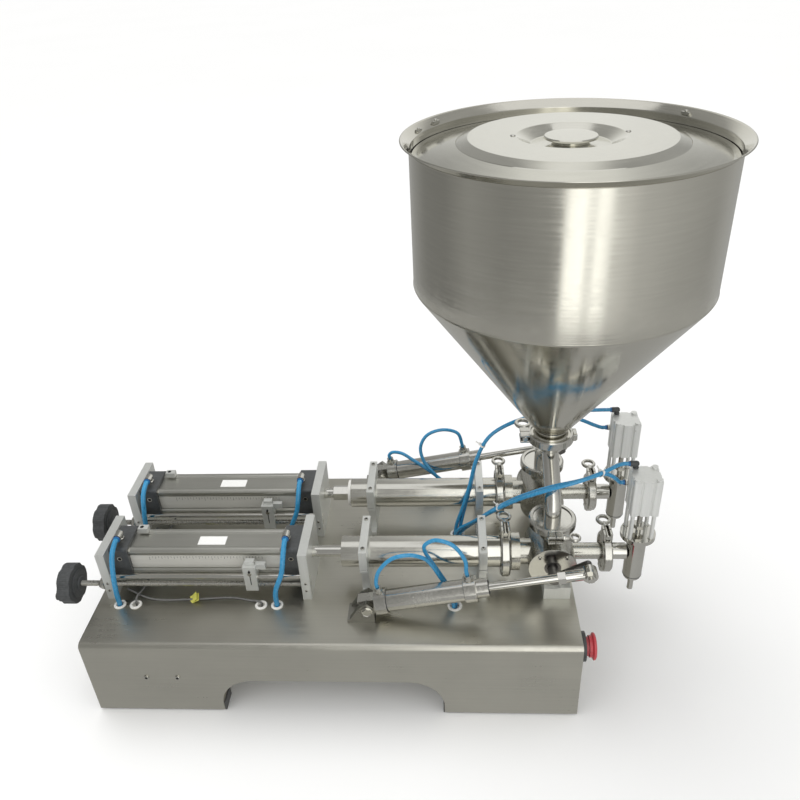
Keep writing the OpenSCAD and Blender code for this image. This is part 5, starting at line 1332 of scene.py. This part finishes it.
@dataclass
class StopButton:
    """Round stop button on the right end of the base."""

    x: float = 0.375
    y: float = -0.175
    z: float = 0.120
    r: float = 0.020
    neck: float = 0.0125

    def build(self) -> None:
        """Dresses the housing and turns the cup-shaped mushroom head and its sleeve."""
        dressed("estop_body", DARK_KNOB, bevel=0.0008)
        r, head_x = self.r, self.x + self.neck
        head = Form().lathe(
            [(0, 0.28 * r), (0.74 * r, 0.28 * r), (0.74 * r, 0), (0.80 * r, 0), (0.81 * r, 0.20 * r),
             (0.92 * r, 0.25 * r), (r, 0.30 * r), (r, 0.40 * r), (0.96 * r, 0.45 * r), (0.85 * r, 0.50 * r),
             (0.3 * r, 0.565 * r), (0, 0.58 * r)],
            (head_x, self.y, self.z), "X", 64)
        head.bar((head_x - 0.012, self.y, self.z), "X", 0.39 * r, 0.018)
        head.made("estop_button_dressed", RED_CAP, "stop_button", ["estop_button"], 30)
        sleeve = Form().ring((self.x + 0.0071, self.y, self.z), "X", 0.70 * r, 0.41 * r, 0.0050, 0.0003, 48)
        sleeve.made("stop_button_sleeve", RED_CAP)


@dataclass
class Studio:
    """Pale floor, even world light, soft lamps, reflection cards and the photograph's camera."""

    camera_at: tuple[float, float, float] = (0.187307, -0.966873, 1.044847)
    yaw: float = -4.36251153
    pitch: float = 31.6926853
    roll: float = -3.06657209
    lens: float = 34.6833
    floor: float = 0.93
    wall_r: float = 1.5
    wall_h: float = 3.6
    ground_tone: float = 0.42
    # Direction in degrees and brightness of the room round the machine
    window: tuple[tuple[float, float], ...] = (
        (-180, 0.47), (-168, 0.44), (-154, 0.2), (-126, 0.16), (-112, 0.13), (-88, 0.12), (-66, 0.17),
        (-38, 0.14), (-9, 0.18), (-2, 0.24), (2, 0.86), (12, 0.94), (15, 0.6), (18, 0.62), (21, 0.9),
        (26, 0.8), (31, 0.44), (48, 0.3), (72, 0.24), (110, 0.19), (130, 0.22), (154, 0.2), (168, 0.44),
        (180, 0.47),
    )
    wall_turn: float = -98.8
    wall_glow: float = 2.0
    warm: float = 0.97

    def build(self) -> None:
        """Sets up everything round the machine."""
        self.world()
        self.ground()
        self.cards()
        self.lamps()
        self.camera()

    def world(self) -> None:
        """White for the camera and for reflections, softer for the light it gives."""
        world = bpy.data.worlds.new("studio_world")
        world.use_nodes = True
        bpy.context.scene.world = world
        tree = world.node_tree
        back = tree.nodes["Background"]
        path = tree.nodes.new("ShaderNodeLightPath")
        seen = path.outputs["Is Camera Ray"]
        for other in ("Is Glossy Ray", "Is Transmission Ray"):
            more = tree.nodes.new("ShaderNodeMath")
            more.operation = "MAXIMUM"
            tree.links.new(seen, more.inputs[0])
            tree.links.new(path.outputs[other], more.inputs[1])
            seen = more.outputs[0]
        mix = tree.nodes.new("ShaderNodeMix")
        mix.data_type = "RGBA"
        mix.inputs[6].default_value = (0.81, 0.81, 0.80, 1)
        mix.inputs[7].default_value = (1.0, 1.0, 1.0, 1)
        tree.links.new(seen, mix.inputs[0])
        tree.links.new(mix.outputs[2], back.inputs["Color"])
        back.inputs["Strength"].default_value = 1.0

    def ground(self) -> None:
        """Wide matt floor with a faint cloudiness."""
        g = Graph("studio_floor")
        place = g.add("TexCoord").outputs["Object"]
        tint = g.spread(g.noise(place, 0.8, 2.0), self.floor - 0.005, self.floor + 0.005)
        g.put(g.shader, "Base Color", g.grey(tint))
        g.put(g.shader, "Roughness", 0.9)
        g.put(g.shader, "Specular IOR Level", 0.1)
        part = bmesh.new()
        bmesh.ops.create_grid(part, x_segments=1, y_segments=1, size=40.0)
        self.stand("studio_floor", part, g.material)

    def stand(self, name: str, part: bmesh.types.BMesh, material: bpy.types.Material) -> bpy.types.Object:
        """Makes a staged object of a mesh."""
        mesh = bpy.data.meshes.new(name)
        part.to_mesh(mesh)
        part.free()
        mesh.materials.append(material)
        thing = linked(name, mesh)
        return thing

    def cards(self) -> None:
        """Room that only reflections see: a round wall with a bright window, and a grey floor."""
        g = Graph("room_wall")
        xyz = g.add("SeparateXYZ", {0: g.add("TexCoord").outputs["Object"]}).outputs
        turn = g.math("ADD", g.math("DIVIDE", g.math("ARCTAN2", xyz[1], xyz[0]), math.tau), 0.5)
        ramp = g.add("ValToRGB", {0: turn})
        stops = ramp.color_ramp.elements
        while len(stops) > 1:
            stops.remove(stops[-1])
        for k, (degrees, tone) in enumerate(self.window):
            stop = stops[0] if k == 0 else stops.new(0.5 + degrees / 360)
            stop.position = 0.5 + degrees / 360
            stop.color = (tone, tone, self.warm * tone, 1)
        part = bmesh.new()
        bmesh.ops.create_cone(
            part, segments=96, radius1=self.wall_r, radius2=self.wall_r, depth=self.wall_h)
        part.transform(Matrix.Translation((0, 0, self.wall_h / 2)))
        wall = self.card("room_wall", part, g, ramp.outputs[0], self.wall_glow)
        turned = Matrix.Rotation(math.radians(self.wall_turn), 4, "Z")
        wall.matrix_world = Matrix.Translation((*HOPPER_CENTRE, 0)) @ turned
        g = Graph("room_floor")
        cloud = g.noise(g.add("TexCoord").outputs["Object"], 1.3, 1.0)
        tint = g.spread(cloud, self.ground_tone - 0.03, self.ground_tone + 0.03)
        part = bmesh.new()
        bmesh.ops.create_circle(part, cap_ends=True, segments=64, radius=self.wall_r - 0.01)
        floor = self.card("room_floor", part, g, g.grey(tint, self.warm), 1.0)
        floor.matrix_world = Matrix.Translation((*HOPPER_CENTRE, 0.0004))

    def card(self, name: str, part: bmesh.types.BMesh, g: Graph, colour, strength: float) -> bpy.types.Object:
        """Makes a glowing staged object that only reflections see.

        Args:
            name: Its name.
            part: Its mesh, which is used up.
            g: Its material's graph.
            colour: Colour that it shows.
            strength: Factor on that colour.

        Returns:
            The new object.
        """
        g.tree.nodes.remove(g.shader)
        light = g.add("Emission", {"Color": colour, "Strength": strength})
        g.tree.links.new(light.outputs[0], g.tree.nodes["Material Output"].inputs[0])
        thing = self.stand(name, part, g.material)
        thing.visible_camera = False
        thing.visible_diffuse = False
        thing.visible_shadow = False
        thing.visible_transmission = False
        return thing

    def lamps(self) -> None:
        """A wide soft key from the upper left, a fill from the right and a weak sun for the floor."""
        for name, at, target, size, power in (
            ("lamp_key", (-1.6, -1.6, 2.9), (0.0, 0.0, 0.2), 1.8, 9.0),
            ("lamp_fill", (2.3, -1.2, 2.2), (0.2, 0.0, 0.3), 1.6, 4.0),
            ("lamp_top", (0.1, 0.5, 3.0), (0.1, 0.0, 0.0), 2.2, 5.0),
        ):
            lamp = bpy.data.lights.new(name, "AREA")
            lamp.shape = "DISK"
            lamp.size = size
            lamp.energy = power
            thing = linked(name, lamp)
            aim = (Vector(target) - Vector(at)).to_track_quat("-Z", "Y")
            thing.matrix_world = Matrix.Translation(at) @ aim.to_matrix().to_4x4()
            thing.visible_glossy = False
        sun = bpy.data.lights.new("lamp_sun", "SUN")
        sun.angle = math.radians(40)
        sun.energy = 0.9
        thing = linked("lamp_sun", sun)
        aside, ahead = math.radians(-18), math.radians(-14)
        thing.matrix_world = Matrix.Rotation(aside, 4, "Y") @ Matrix.Rotation(ahead, 4, "X")
        thing.visible_glossy = False

    def camera(self) -> None:
        """Puts the camera where the photograph was taken from."""
        yaw, pitch, roll = (math.radians(a) for a in (self.yaw, self.pitch, self.roll))
        ahead = Vector((math.sin(yaw) * math.cos(pitch), math.cos(yaw) * math.cos(pitch), -math.sin(pitch)))
        right = Vector((math.cos(yaw), -math.sin(yaw), 0))
        up = right.cross(ahead)
        right, up = (
            math.cos(roll) * right + math.sin(roll) * up,
            math.cos(roll) * up - math.sin(roll) * right,
        )
        lens = bpy.data.cameras.new("photo_camera")
        lens.lens = self.lens
        lens.sensor_width = 36.0
        lens.clip_start = 0.02
        lens.clip_end = 200.0
        thing = linked("photo_camera", lens)
        turn = Matrix((right, up, -ahead)).transposed().to_4x4()
        thing.matrix_world = Matrix.Translation(self.camera_at) @ turn
        bpy.context.scene.camera = thing


def main() -> None:
    """Builds every sub-assembly, then the studio."""
    logging.basicConfig(level=logging.INFO, format="%(message)s")
    bpy.context.scene.view_settings.view_transform = "Standard"
    for part in (
        Base(), AirCylinders(), VolumeAdjusters(), Clamps(), Metering(), Valves(), Hopper(), Outlets(),
        Airlines(), StopButton(), Studio(),
    ):
        part.build()
        LOG.info("%s is ready", type(part).__name__)
    bpy.context.view_layer.update()


if __name__ == "__main__":
    main()
